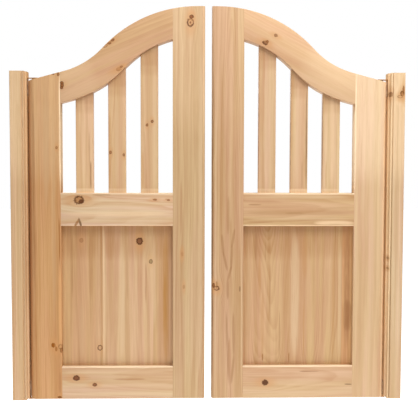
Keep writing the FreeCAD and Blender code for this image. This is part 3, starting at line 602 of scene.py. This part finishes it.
leftSlats = {"angle": 90, "climb": 0.015, "ringWidth": 0.006}
leftSlat1 = {
    **leftSlats, "node": "left_slat_1", "centre": (-335, 700), "shift": 7.9, "pale": (223, 192, 154),
    "deep": (193, 150, 106), "pithAcross": 0.04,
    "streaks": paintedShadowUnderArch(-337, 829) + [
        streak(-319, 616, 81, 6, "umber", 0.75),
        streak(-322, 684, 108, 3.8, "russet", 0.5),
        streak(-337, 711, 270, 10.9, "wheat", 0.5),
        paintedLightAtFoot(-335, 0.55)],
}
leftSlat2 = {
    **leftSlats, "node": "left_slat_2", "centre": (-247, 720), "shift": 9.1, "pale": (214, 182, 143),
    "deep": (187, 141, 99), "pithAcross": -0.02,
    "knots": [
        knot(-265, 678, 3.5, dark=0.6),
        knot(-229, 671, 3.4, dark=0.4)],
    "streaks": paintedShadowUnderArch(-245, 875) + [
        streak(-267, 684, 216, 8.2, "amber", 0.5),
        streak(-248, 711, 270, 13.6, "straw", 0.5),
        paintedLightAtFoot(-247, 0.42)],
}
leftSlat3 = {
    **leftSlats, "node": "left_slat_3", "centre": (-160, 740), "shift": 10.7, "pale": (213, 183, 144),
    "deep": (185, 142, 100), "pithAcross": 0.03,
    "knots": [
        knot(-152, 762, 3.4, dark=0.8),
        knot(-166, 752, 3.1, dark=0.7)],
    "streaks": paintedShadowUnderArch(-159, 932) + [
        streak(-145, 738, 324, 13.6, "straw", 0.5),
        streak(-178, 630, 109, 8.2, "amber", 0.5),
        paintedLightAtFoot(-160, 0.42)],
}
leftPanels = {"angle": 90, "rings": 0.24, "tone": 0.5, "climb": 0.02, "ringWidth": 0.007}
# two knots that lie on a joint, half on each board
lowJointKnot = knot(-296.5, 141, 6.6, stretch=1.1, fill=0.05, dark=0.8, halo=0.2)
highJointKnot = knot(-157, 380, 5, fill=0.7, dark=0.5, halo=0.25, core=(134, 112, 70))
leftPanel1 = {
    **leftPanels, "node": "left_panel_board_1", "centre": (-352, 286), "shift": 12.1,
    "pale": (203, 166, 124), "deep": (172, 128, 88), "pithAcross": 0.05,
    "knots": [
        knot(-346, 438, 5.5, fill=0.35, dark=0.15, halo=0.3),
        lowJointKnot],
    "streaks": paintedShadeUnderRail(-350, 0.14, 0.31) + [
        streak(-372, 373, 198, 6, "brown", 0.5),
        streak(-320, 374, 201, 13.6, "russet", 0.5),
        streak(-346, 188, 172, 16.3, "sand", 0.5),
        streak(-305, 278, 365, 8.2, "sand", 0.4),
        streak(-298, 278, 440, 9, "wheat", 0.3)],
}
leftPanel2 = {
    **leftPanels, "node": "left_panel_board_2", "centre": (-226, 286), "shift": 13.3,
    "pale": (211, 179, 143), "deep": (181, 138, 98), "pithAcross": -0.01,
    "knots": [
        knot(-187.5, 435.5, 8.4, stretch=1.1, fill=0.9, dark=1.0, core=(112, 66, 34)),
        lowJointKnot,
        highJointKnot],
    "streaks": paintedShadeUnderRail(-226, 0.14, 0.31) + [
        streak(-288, 278, 440, 17, "wheat", 0.6, wander=1),
        streak(-235, 267, 343, 16.3, "straw", 0.6),
        streak(-221, 342, 138, 6.5, "tan", 0.5),
        streak(-170, 319, 119, 5.4, "russet", 0.6),
        streak(-268, 427, 96, 27.2, "russet", 0.3)],
}
leftPanel3 = {
    **leftPanels, "node": "left_panel_board_3", "centre": (-126, 286), "shift": 14.9,
    "pale": (206, 172, 132), "deep": (176, 134, 89), "pithAcross": 0.06,
    "knots": [highJointKnot],
    "streaks": paintedShadeUnderRail(-126, 0.14, 0.31) + [
        streak(-150, 325, 271, 19, "straw", 0.5),
        streak(-116, 281, 383, 19, "resin", 0.65),
        streak(-118, 266, 180, 12.2, "resin", 0.65),
        streak(-136, 187, 173, 13.6, "tan", 0.4)],
}
leftStrip = {
    "node": "left_jamb_strip", "angle": 90, "centre": (-510, 447), "shift": 16.1,
    "pale": (219, 188, 154), "deep": (190, 150, 104), "hueShare": 0.5, "gloss": 0.0, "rings": 0.4,
    "ringWidth": 0.0055, "climb": 0.004, "pithAcross": 0.12, "pithDepth": 0.02,
    "streaks": [
        # painted light: the top of the strip is lightened
        streak(-510, 850, 520, 200, "cream", 0.34),
        # the moulding's lines, painted as light and shade: shade in the gap, the quirk and the step, a
        # highlight on the bead
        streak(-487.4, 450, wholeLength, 4.6, "amber", 0.7, wander=0.3),
        streak(-498.2, 450, wholeLength, 3, "cream", 0.7, wander=0.3),
        streak(-501.3, 450, wholeLength, 2.4, "amber", 0.6, wander=0.3),
        streak(-494, 450, wholeLength, 3.4, "russet", 0.55, wander=0.3),
        streak(-494, 60, 460, 14, "wheat", 0.35, wander=0.3),
        streak(-527, 549, 215, 6.8, "sand", 0.5),
        streak(-518, 450, 837, 4.4, "wheat", 0.5),
        streak(-511, 450, 837, 2.7, "sand", 0.4)],
}
print("left slats, panel and strip")
for look in (leftSlat1, leftSlat2, leftSlat3, leftPanel1, leftPanel2, leftPanel3, leftStrip):
    dressNode(look)


# right leaf, its boards numbered from the hinge side too

rightHingeStile = {
    **rightStiles, "node": "right_hinge_stile", "centre": (442, 430), "joints": [hingeJoint],
    "shift": 21.3, "pale": (219, 190, 155), "deep": (192, 150, 114), "gloss": 0.0, "rings": 0.25,
    "ringWidth": 0.008, "climb": 0.02, "pithAcross": 0.0, "pithDepth": 0.05,
    "streaks": [
        # painted light: the top of the stile is lightened, as light falls from above
        streak(442, 850, 520, 300, "light", 0.36),
        # painted light: the bull-nose, which lies in the strip's shadow, is lightened
        streak(483, 435, wholeLength, 14, "cream", 0.85, wander=0.5),
        streak(449, 387, 761, 10.9, "straw", 0.4),
        streak(418, 224, 434, 8.2, "sand", 0.4),
        streak(460, 425, 523, 4.1, "sand", 0.5),
        streak(422, 557, 96, 13.6, "straw", 0.5),
        # painted highlight along the stile's inner edge beside the slats
        streak(399, 735, 350, 8, "light", 0.75, wander=0.3)],
}
rightMeetingStile = {
    **rightStiles, "node": "right_meeting_stile", "centre": (52, 530), "joints": [meetingJoint],
    "shift": 22.9, "pale": (203, 170, 134), "deep": (172, 129, 86), "rings": 0.5, "ringWidth": 0.0045,
    "waviness": 0.009, "climb": 0.02, "pithAcross": -0.007, "pithDepth": -0.002,
    "knots": [
        knot(23, 308, 8, stretch=0.75, fill=0.25, dark=0.85, halo=0.5),
        knot(15, 316, 3.4, stretch=1.8, fill=0.9, dark=0.8)],
    "streaks": [
        # painted light: the top of the stile is lightened
        streak(52, 1000, 560, 300, "cream", 0.04),
        # painted shade: a dark line along the meeting edge, which faces away from the light; next, a
        # painted highlight on the rounded edge
        streak(12, 508, 997, 4.1, "walnut", 0.75),
        streak(20, 468, 918, 7.1, "straw", 0.6),
        streak(35, 677, 500, 12.2, "russet", 0.4),
        streak(54, 507, 112, 9.2, "brown", 0.5),
        figureArm(39.7, 427, 64, 0.092),
        figureArm(46.7, 382, 56, 0.229),
        figureArm(68, 445, 56, -0.151),
        figureArm(64, 394, 76, -0.036),
        figureArm(59, 349, 44, -0.25),
        figureArm(54, 305, 60, 0),
        figureArm(54.5, 139, 215, 0.045),
        figureArm(70.3, 178, 130, 0.016),
        figureArm(68, 83, 84, -0.094),
        streak(33, 200, 360, 6.5, "sand", 0.6),
        streak(87, 306, 17, 4.4, "walnut", 0.9),
        streak(24, 317, 22, 6.5, "walnut", 0.85),
        # painted highlight along the stile's inner edge beside the panel
        streak(92, 244, 437, 5.4, "straw", 0.6)],
}
rightArch = {
    **rightRails, "node": "right_arched_top_rail", "angle": -27, "centre": (250, 940), "shift": 24.1,
    "pale": (216, 180, 142), "deep": (192, 144, 103), "hueShare": 0.5, "tone": 0.26, "rings": 0.2,
    "climb": 0.02, "pithAcross": -0.05, "pithDepth": 0.04,
    "knots": [
        knot(152.5, 973, 5.2, stretch=1.4, fill=0.9, dark=0.85, core=(112, 66, 34)),
        knot(158, 977, 3.4, stretch=1.2, fill=0.8, dark=0.4),
        knot(181, 993, 4.4, fill=0.85, dark=0.2, core=(140, 94, 56))],
    "streaks": [
        streak(400, 860, 330, 300, "wheat", 0.45)],
}
rightMiddleRail = {
    **rightRails, "node": "right_middle_rail", "centre": (247, 523), "shift": 25.3,
    "pale": (210, 178, 140), "deep": (181, 139, 95), "rings": 0.5, "climb": 0.03, "pithAcross": 0.0,
    "pithDepth": 0.05,
    "streaks": [
        # painted highlight along the rail's lower arris
        streak(247, 480, 420, 5, "cream", 0.75, wander=0.3),
        streak(127, 537, 38, 4.4, "brown", 0.6),
        streak(235, 514, 52, 4.9, "brown", 0.7),
        streak(245, 514, 295, 13.6, "tan", 0.5),
        streak(142, 490, 79, 4.1, "russet", 0.6),
        streak(244, 558, 295, 10.9, "straw", 0.5),
        streak(245, 499, 296, 6.8, "straw", 0.5),
        streak(342, 525, 101, 10.9, "tan", 0.4),
        # painted highlight along the rail's top edge, lit from above
        streak(247, 567.5, 420, 8, "light", 0.75, wander=0.2),
        streak(346, 487, 120, 13, "cream", 0.65)],
}
rightBottomRail = {
    **rightRails, "node": "right_bottom_rail", "centre": (247, 47), "shift": 26.7,
    "pale": (214, 185, 150), "deep": (187, 145, 104), "rings": 0.45, "climb": 0.04, "pithAcross": 0.01,
    "pithDepth": 0.045,
    "knots": [
        knot(158, 46, 7.6, stretch=1.1, fill=1.0, dark=0.8, core=(90, 52, 20))],
    "streaks": [
        # painted highlight along the rail's top arris, lit from above
        streak(247, 92, 420, 7, "light", 0.9, wander=0.2),
        streak(280, 77, 58, 4.9, "umber", 0.65),
        streak(388, 40, 22, 3.8, "walnut", 0.8),
        streak(243, 48, 188, 19, "straw", 0.5),
        streak(130, 61, 50, 3.5, "tan", 0.4),
        streak(249, 19, 299, 8.2, "straw", 0.5)],
}
print("right leaf: frame pieces")
for look in (rightHingeStile, rightMeetingStile, rightArch, rightMiddleRail, rightBottomRail):
    easedPiece(look)

rightSlats = {"angle": 90, "climb": 0.015, "ringWidth": 0.006, "rings": 0.3}
rightSlat1 = {
    **rightSlats, "node": "right_slat_1", "centre": (335, 700), "shift": 30.7, "pale": (220, 194, 155),
    "deep": (191, 151, 108), "pithAcross": 0.03,
    "streaks": paintedShadowUnderArch(334, 831) + [
        streak(311, 713, 272, 4.9, "umber", 0.6),
        streak(322, 618, 82, 3.3, "amber", 0.6),
        streak(337, 713, 272, 16.3, "wheat", 0.5),
        paintedLightAtFoot(335, 0.42)],
}
rightSlat2 = {
    **rightSlats, "node": "right_slat_2", "centre": (247, 720), "shift": 29.1, "pale": (215, 185, 148),
    "deep": (187, 143, 100), "pithAcross": -0.02,
    "streaks": paintedShadowUnderArch(249, 872) + [
        streak(223, 726, 298, 3.3, "russet", 0.6),
        streak(244, 726, 299, 10.9, "straw", 0.4),
        streak(267, 715, 277, 4.4, "walnut", 0.8),
        streak(256, 618, 82, 6.5, "tan", 0.5),
        paintedLightAtFoot(247, 0.55)],
}
rightSlat3 = {
    **rightSlats, "node": "right_slat_3", "centre": (160, 740), "shift": 27.9, "pale": (212, 182, 148),
    "deep": (185, 141, 100), "pithAcross": 0.04,
    "streaks": paintedShadowUnderArch(156, 948) + [
        streak(137, 752, 352, 4.2, "russet", 0.6),
        streak(156, 753, 352, 13.6, "straw", 0.4),
        streak(177, 712, 271, 5.4, "sand", 0.5),
        paintedLightAtFoot(160, 0.42)],
}
rightPanels = {"angle": 90, "rings": 0.4}
rightPanel1 = {
    **rightPanels, "node": "right_panel_board_1", "centre": (385, 286), "shift": 34.9,
    "pale": (205, 163, 118), "deep": (176, 123, 78), "ringWidth": 0.006, "climb": 0.03,
    "pithAcross": 0.02,
    "streaks": paintedShadeUnderRail(385, 0.07, 0.31) + [
        # partly the board's own darker figure, partly painted shade cast by the hinge stile onto the
        # panel's edge
        streak(384, 305, 345, 20, "umber", 0.62),
        streak(386, 230, 95, 24, "umber", 0.7)],
}
rightPanel2 = {
    **rightPanels, "node": "right_panel_board_2", "centre": (298, 286), "shift": 33.3,
    "pale": (205, 172, 131), "deep": (175, 130, 87), "rings": 0.28, "ringWidth": 0.0055,
    "waviness": 0.016, "climb": -0.05, "pithAcross": 0.01, "pithDepth": 0.035,
    "streaks": paintedShadeUnderRail(298, 0.07, 0.27) + [
        streak(240, 281, 365, 28, "straw", 0.75),
        streak(266, 191, 185, 4.9, "amber", 0.6),
        streak(267, 400, 144, 19, "amber", 0.4),
        streak(365, 269, 340, 10.9, "straw", 0.5),
        streak(346, 255, 313, 8.2, "amber", 0.4),
        streak(236, 415, 140, 15, "sand", 0.5)],
}
rightPanel3 = {
    **rightPanels, "node": "right_panel_board_3", "centre": (160, 286), "shift": 32.1,
    "pale": (205, 170, 132), "deep": (175, 130, 89), "ringWidth": 0.004, "waviness": 0.018,
    "climb": -0.09, "pithAcross": 0.0, "pithDepth": 0.045,
    "streaks": paintedShadeUnderRail(160, 0.07, 0.31) + [
        streak(132, 420, 83, 8.2, "brown", 0.45),
        streak(142, 335, 125, 9.2, "amber", 0.5),
        streak(151, 200, 201, 10.9, "amber", 0.45),
        streak(159, 409, 61, 4.1, "brown", 0.45),
        streak(171, 295, 167, 4.4, "brown", 0.45),
        streak(198, 175, 140, 4.9, "brown", 0.45),
        streak(152, 113, 22, 4.9, "shade", 0.8),
        streak(226, 112, 31, 6, "shade", 0.8),
        streak(206, 367, 188, 10.9, "tan", 0.3),
        streak(113, 272, 334, 10.9, "sand", 0.5)],
}
rightStrip = {
    "node": "right_jamb_strip", "angle": 90, "centre": (510, 447), "shift": 36.1,
    "pale": (217, 191, 158), "deep": (192, 154, 115), "gloss": 0.0, "rings": 0.35, "ringWidth": 0.0065,
    "climb": 0.01, "pithAcross": 0.02, "pithDepth": 0.05,
    "knots": [
        knot(523, 838, 5.4, fill=0.95, dark=1.0, core=(96, 54, 22), bark=(70, 36, 18), back=14),
        knot(517, 830, 7.5, stretch=0.55, fill=0.1, dark=0.4, back=14),
        knot(526, 848, 2.6, stretch=4, fill=0.7, dark=0.4, bark=(80, 44, 22), back=18),
        knot(493, 836, 4, stretch=1.6, fill=0.6, dark=0.3, back=8),
        knot(492, 391, 2.2, fill=0.3, dark=0.35, back=8),
        knot(492, 363, 2.2, fill=0.3, dark=0.35, back=8)],
    "streaks": [
        # the moulding's lines, painted as light and shade: light on the fillet and in the gap, a
        # highlight on the bead, shade in the quirk
        streak(491.5, 450, wholeLength, 11, "cream", 0.6, wander=0.3),
        streak(486.5, 450, wholeLength, 6, "honey", 0.6, wander=0.3),
        streak(495.2, 450, wholeLength, 3, "cream", 0.5, wander=0.3),
        streak(498.6, 450, wholeLength, 2.2, "tan", 0.5, wander=0.3),
        # painted light: the top of the strip is lightened; towards its foot it is darker
        streak(512, 850, 520, 200, "cream", 0.48),
        streak(512, 40, 300, 200, "sand", 0.2),
        streak(512, 449, 878, 4.4, "sand", 0.4),
        streak(520, 449, 878, 4.4, "wheat", 0.4),
        streak(533, 143, 267, 8.2, "straw", 0.4)],
}
print("right slats, panel and strip")
for look in (rightSlat1, rightSlat2, rightSlat3, rightPanel1, rightPanel2, rightPanel3, rightStrip):
    dressNode(look)


# fittings

fittingLooks = {
    "zincPlate": {"bright": (178, 128, 66), "dull": (146, 100, 52), "roughness": 0.5, "metallic": 0.7},
    "zincScrew": {"bright": (190, 148, 82), "dull": (150, 112, 60), "roughness": 0.38, "metallic": 0.85},
    "drawnSteel": {"bright": (150, 152, 154), "dull": (98, 98, 98), "roughness": 0.25, "metallic": 1.0},
    "brass": {"bright": (214, 178, 96), "dull": (170, 132, 62), "roughness": 0.28, "metallic": 1.0},
    "nylon": {"bright": (232, 230, 222), "dull": (214, 210, 198), "roughness": 0.42, "metallic": 0.0},
}
wearing = {"patchColour": 0.6, "patchRoughness": 0.15, "scratchRoughness": 0.12, "scratchStrength": 0.15,
           "scratchDepth": 0.0001}


def fittingMaterial(name, look):
    material = bpy.data.materials.new(name)
    material.use_nodes = True
    tree = material.node_tree
    shader = tree.nodes["Principled BSDF"]
    point = addNode(tree, "ShaderNodeTexCoord").outputs["Object"]
    wear = useGroup(tree, metalWearGroup, {"Point": point})
    patches = maths(tree, "MULTIPLY", wear["Patches"], wearing["patchColour"])
    colour = mixColour(tree, patches, srgb(*look["bright"]), srgb(*look["dull"]))
    tree.links.new(colour, shader.inputs["Base Color"])
    rough = maths(tree, "MULTIPLY_ADD", wear["Patches"], wearing["patchRoughness"], look["roughness"])
    rough = maths(tree, "MULTIPLY_ADD", wear["Scratches"], wearing["scratchRoughness"], rough)
    tree.links.new(rough, shader.inputs["Roughness"])
    bump = addNode(tree, "ShaderNodeBump", {
        "Height": wear["Scratches"], "Strength": wearing["scratchStrength"],
        "Distance": wearing["scratchDepth"]})
    tree.links.new(bump.outputs[0], shader.inputs["Normal"])
    shader.inputs["Metallic"].default_value = look["metallic"]
    return material


finishes = {name: fittingMaterial(name, look) for name, look in fittingLooks.items()}
fittings = {"top_pivot_pin": "drawnSteel", "pivot_spindle": "drawnSteel", "top_bush": "brass",
            "thrust_washer": "nylon"}

for side, mirror in (("left", 1), ("right", -1)):
    for name, finish in fittings.items():
        putMaterial(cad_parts[side + "_" + name], finishes[finish])
    # the leaf winds the spring up, its lower end held by the spindle
    spring = cleanCopy(side + "_torsion_spring", "_wound")
    makeSmooth(spring)
    putMaterial(spring, finishes["drawnSteel"])
    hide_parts(side + "_torsion_spring")
    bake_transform(spring)

screw = {     # mm
    "head": 3.3, "rim": 0.45, "countersink": 1.55, "shank": 1.6, "length": 14,
    "tip": 2.6, "tipShare": 0.12, "proud": 0.15, "crown": 0.12, "crownInset": 0.9,
    "crossWidth": 0.8, "crossReach": 1.35, "crossDepth": 1.3, "crossTaper": 0.45, "sides": 32}
hole = {"play": 0.12, "above": 1.0, "below": 2.0}     # mm, what the drill adds to the screw


def pickFaces(piece, wanted):
    mesh = bmesh.from_edit_mesh(piece.data)
    for face in mesh.faces:
        face.select_set(False)
    for face in mesh.faces:
        if wanted(face):
            face.select_set(True)
    bmesh.update_edit_mesh(piece.data)


def stretchDown(depth, size):
    # the picked end of a turned piece goes on downwards, to another size
    bpy.ops.mesh.extrude_region_move(TRANSFORM_OT_translate={"value": (0, 0, -depth * mm)})
    bpy.ops.transform.resize(value=(size, size, 1))


def turnedBlank(name, radius, top, rim):
    selectNothing()
    bpy.ops.mesh.primitive_cylinder_add(vertices=screw["sides"], radius=radius * mm,
                                        depth=(top + rim) * mm, location=(0, 0, (top - rim) / 2 * mm))
    piece = bpy.context.object
    piece.name = name
    bpy.ops.object.transform_apply(location=True, rotation=True, scale=True)
    bpy.ops.object.mode_set(mode="EDIT")
    pickFaces(piece, lambda face: face.normal.z < -facing)
    return piece


def cutAway(piece, cutter):
    makeActive(piece)
    cut = piece.modifiers.new("cut", "BOOLEAN")
    cut.operation = "DIFFERENCE"
    cut.solver = "EXACT"
    cut.object = cutter
    bpy.ops.object.modifier_apply(modifier="cut")


def makeScrew():
    # a countersunk screw pointing down, the plane of its plate at height 0
    piece = turnedBlank("screw", screw["head"], screw["proud"], screw["rim"] - screw["proud"])
    stretchDown(screw["countersink"], screw["shank"] / screw["head"])
    stretchDown(screw["length"], 1)
    stretchDown(screw["tip"], screw["tipShare"])
    pickFaces(piece, lambda face: face.normal.z > facing)
    bpy.ops.mesh.inset(thickness=screw["crownInset"] * mm)
    bpy.ops.transform.translate(value=(0, 0, screw["crown"] * mm))

    selectNothing()
    bpy.ops.mesh.primitive_cube_add(size=screw["crossWidth"] * mm, location=(0, 0, 0))
    cross = bpy.context.object
    bpy.ops.object.mode_set(mode="EDIT")
    bpy.ops.mesh.select_all(action="SELECT")
    bpy.ops.transform.resize(value=(1, 1, 2 * screw["crossDepth"] / screw["crossWidth"]))
    for x, y in ((1, 0), (-1, 0), (0, 1), (0, -1)):
        way = Vector((x, y, 0))
        pickFaces(cross, lambda face: face.normal.dot(way) > facing
                  and face.calc_center_median().dot(way) < screw["crossWidth"] * mm)
        bpy.ops.mesh.extrude_region_move(TRANSFORM_OT_translate={"value": way * screw["crossReach"] * mm})
    pickFaces(cross, lambda face: face.normal.z < -facing)
    bpy.ops.transform.resize(value=(screw["crossTaper"], screw["crossTaper"], 1))
    cutAway(piece, cross)
    bpy.data.objects.remove(cross)
    makeSmooth(piece)
    return piece


def makeDrill():
    # what a countersink takes out of a plate
    head = screw["head"] + hole["play"]
    piece = turnedBlank("drill", head, hole["above"], screw["rim"] - screw["proud"])
    stretchDown(screw["countersink"], (screw["shank"] + hole["play"]) / head)
    stretchDown(hole["below"], 1)
    selectNothing()
    return piece


def putAt(piece, name, spot, turn):
    copy = piece.copy()
    copy.data = piece.data.copy()
    copy.name = name
    bpy.context.scene.collection.objects.link(copy)
    copy.location = [value * mm for value in spot]
    copy.rotation_euler = turn
    makeActive(copy)
    bpy.ops.object.transform_apply(location=True, rotation=True, scale=True)
    return copy


screwBlank = makeScrew()
drill = makeDrill()
plates = {     # how far its screws turn from pointing down, and where they sit on the left, in mm
    "top_bracket": {"body": "jamb_strips", "turn": (0, math.pi / 2, 0),
                    "spots": [(-488.5, 0, 842), (-488.5, 0, 863)]},
    "bottom_bracket": {"body": "jamb_strips", "turn": (0, math.pi / 2, 0),
                       "spots": [(-488.5, 0, 14), (-488.5, 0, 36)]},
    "spring_barrel": {"body": "leaf", "turn": (math.pi, 0, 0),
                      "spots": [(-450, -5.2, 3), (-450, 5.2, 3)]},
}
for side, mirror in (("left", 1), ("right", -1)):
    for name, plate in plates.items():
        node = side + "_" + name
        body = plate["body"] if plate["body"] == "jamb_strips" else side + "_leaf"
        piece = cleanCopy(node, "_drilled")
        turn = (plate["turn"][0], plate["turn"][1] * mirror, 0)
        for count, (x, y, z) in enumerate(plate["spots"], 1):
            spot = (x * mirror, y, z)
            tool = putAt(drill, "drill_in_use", spot, turn)
            cutAway(piece, tool)
            bpy.data.objects.remove(tool)
            placed = putAt(screwBlank, f"{node}_screw_{count}", spot, turn)
            putMaterial(placed, finishes["zincScrew"])
            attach(placed, body)
        makeSmooth(piece)
        putMaterial(piece, finishes["zincPlate"])
        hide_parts(node)
        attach(piece, body)
bpy.data.objects.remove(screwBlank)
bpy.data.objects.remove(drill)
print("fittings dressed")


# studio

studio = {"floorDrop": 0.38, "floorSize": 30, "floorShade": 0.7, "floorRoughness": 0.9, "floorGlow": 0.85,
          "ambient": 0.25, "ambientTint": (1.0, 0.95, 0.89, 1)}
lamps = {
    "keyLamp": {"power": 74, "size": 1.6, "place": (0.75, -1.05, 2.75), "aim": (0, 0, 0.55)},
    "fillLamp": {"power": 11, "size": 2.2, "place": (0.1, -2.4, 1.7), "aim": (0, 0, 0.55)},
    "lowLamp": {"power": 15, "size": 2.0, "place": (0.0, -0.4, -0.36), "aim": (0, -0.3, 1)},
    "backLamp": {"power": 55, "size": 2.4, "place": (-1.1, 2.3, 2.1), "aim": (0, 0, 0.5)}}
camera = {"place": (-0.0464, -1.9991, 0.6425), "turn": 1.393, "down": 2.923, "roll": 0.139,     # degrees
          "focalPixels": 730.51, "picturePixels": 418, "sensorWidth": 36}
white = (1, 1, 1, 1)


def whiteForCamera(tree):
    # white where the camera, a gloss or glass sees it, plain elsewhere
    path = addNode(tree, "ShaderNodeLightPath").outputs
    seen = maths(tree, "ADD", path["Is Camera Ray"], path["Is Glossy Ray"])
    return maths(tree, "MINIMUM", maths(tree, "ADD", seen, path["Is Transmission Ray"]), 1.0)


bpy.ops.mesh.primitive_plane_add(size=studio["floorSize"], location=(0, 0, -studio["floorDrop"]))
floor = bpy.context.object
floor.name = "floor"
floorMaterial = bpy.data.materials.new("paleFloor")
floorMaterial.use_nodes = True
tree = floorMaterial.node_tree
shader = tree.nodes["Principled BSDF"]
shader.inputs["Base Color"].default_value = (studio["floorShade"],) * 3 + (1,)
shader.inputs["Roughness"].default_value = studio["floorRoughness"]
glow = addNode(tree, "ShaderNodeEmission", {
    "Color": white, "Strength": maths(tree, "MULTIPLY", whiteForCamera(tree), studio["floorGlow"])})
both = addNode(tree, "ShaderNodeAddShader", {0: shader.outputs[0], 1: glow.outputs[0]})
tree.links.new(both.outputs[0], tree.nodes["Material Output"].inputs["Surface"])
putMaterial(floor, floorMaterial)

world = bpy.context.scene.world or bpy.data.worlds.new("studio")
bpy.context.scene.world = world
world.use_nodes = True
tree = world.node_tree
background = tree.nodes["Background"]
seen = whiteForCamera(tree)
tree.links.new(mixColour(tree, seen, studio["ambientTint"], white), background.inputs["Color"])
level = addNode(tree, "ShaderNodeMapRange", {0: seen, 3: studio["ambient"], 4: 1.0})
tree.links.new(level.outputs[0], background.inputs["Strength"])

for name, lamp in lamps.items():
    place = Vector(lamp["place"])
    bpy.ops.object.light_add(type="AREA", location=place,
                             rotation=(Vector(lamp["aim"]) - place).to_track_quat("-Z", "Y").to_euler())
    made = bpy.context.object
    made.name = name
    made.data.energy = lamp["power"]
    made.data.size = lamp["size"]
    made.visible_camera = False

bpy.ops.object.camera_add(location=camera["place"], rotation=(
    math.radians(90 - camera["down"]), math.radians(-camera["roll"]), math.radians(-camera["turn"])))
eye = bpy.context.object
eye.data.sensor_width = camera["sensorWidth"]
eye.data.lens = camera["focalPixels"] / camera["picturePixels"] * camera["sensorWidth"]
bpy.context.scene.camera = eye
bpy.context.scene.view_settings.view_transform = "Standard"
print("studio set")
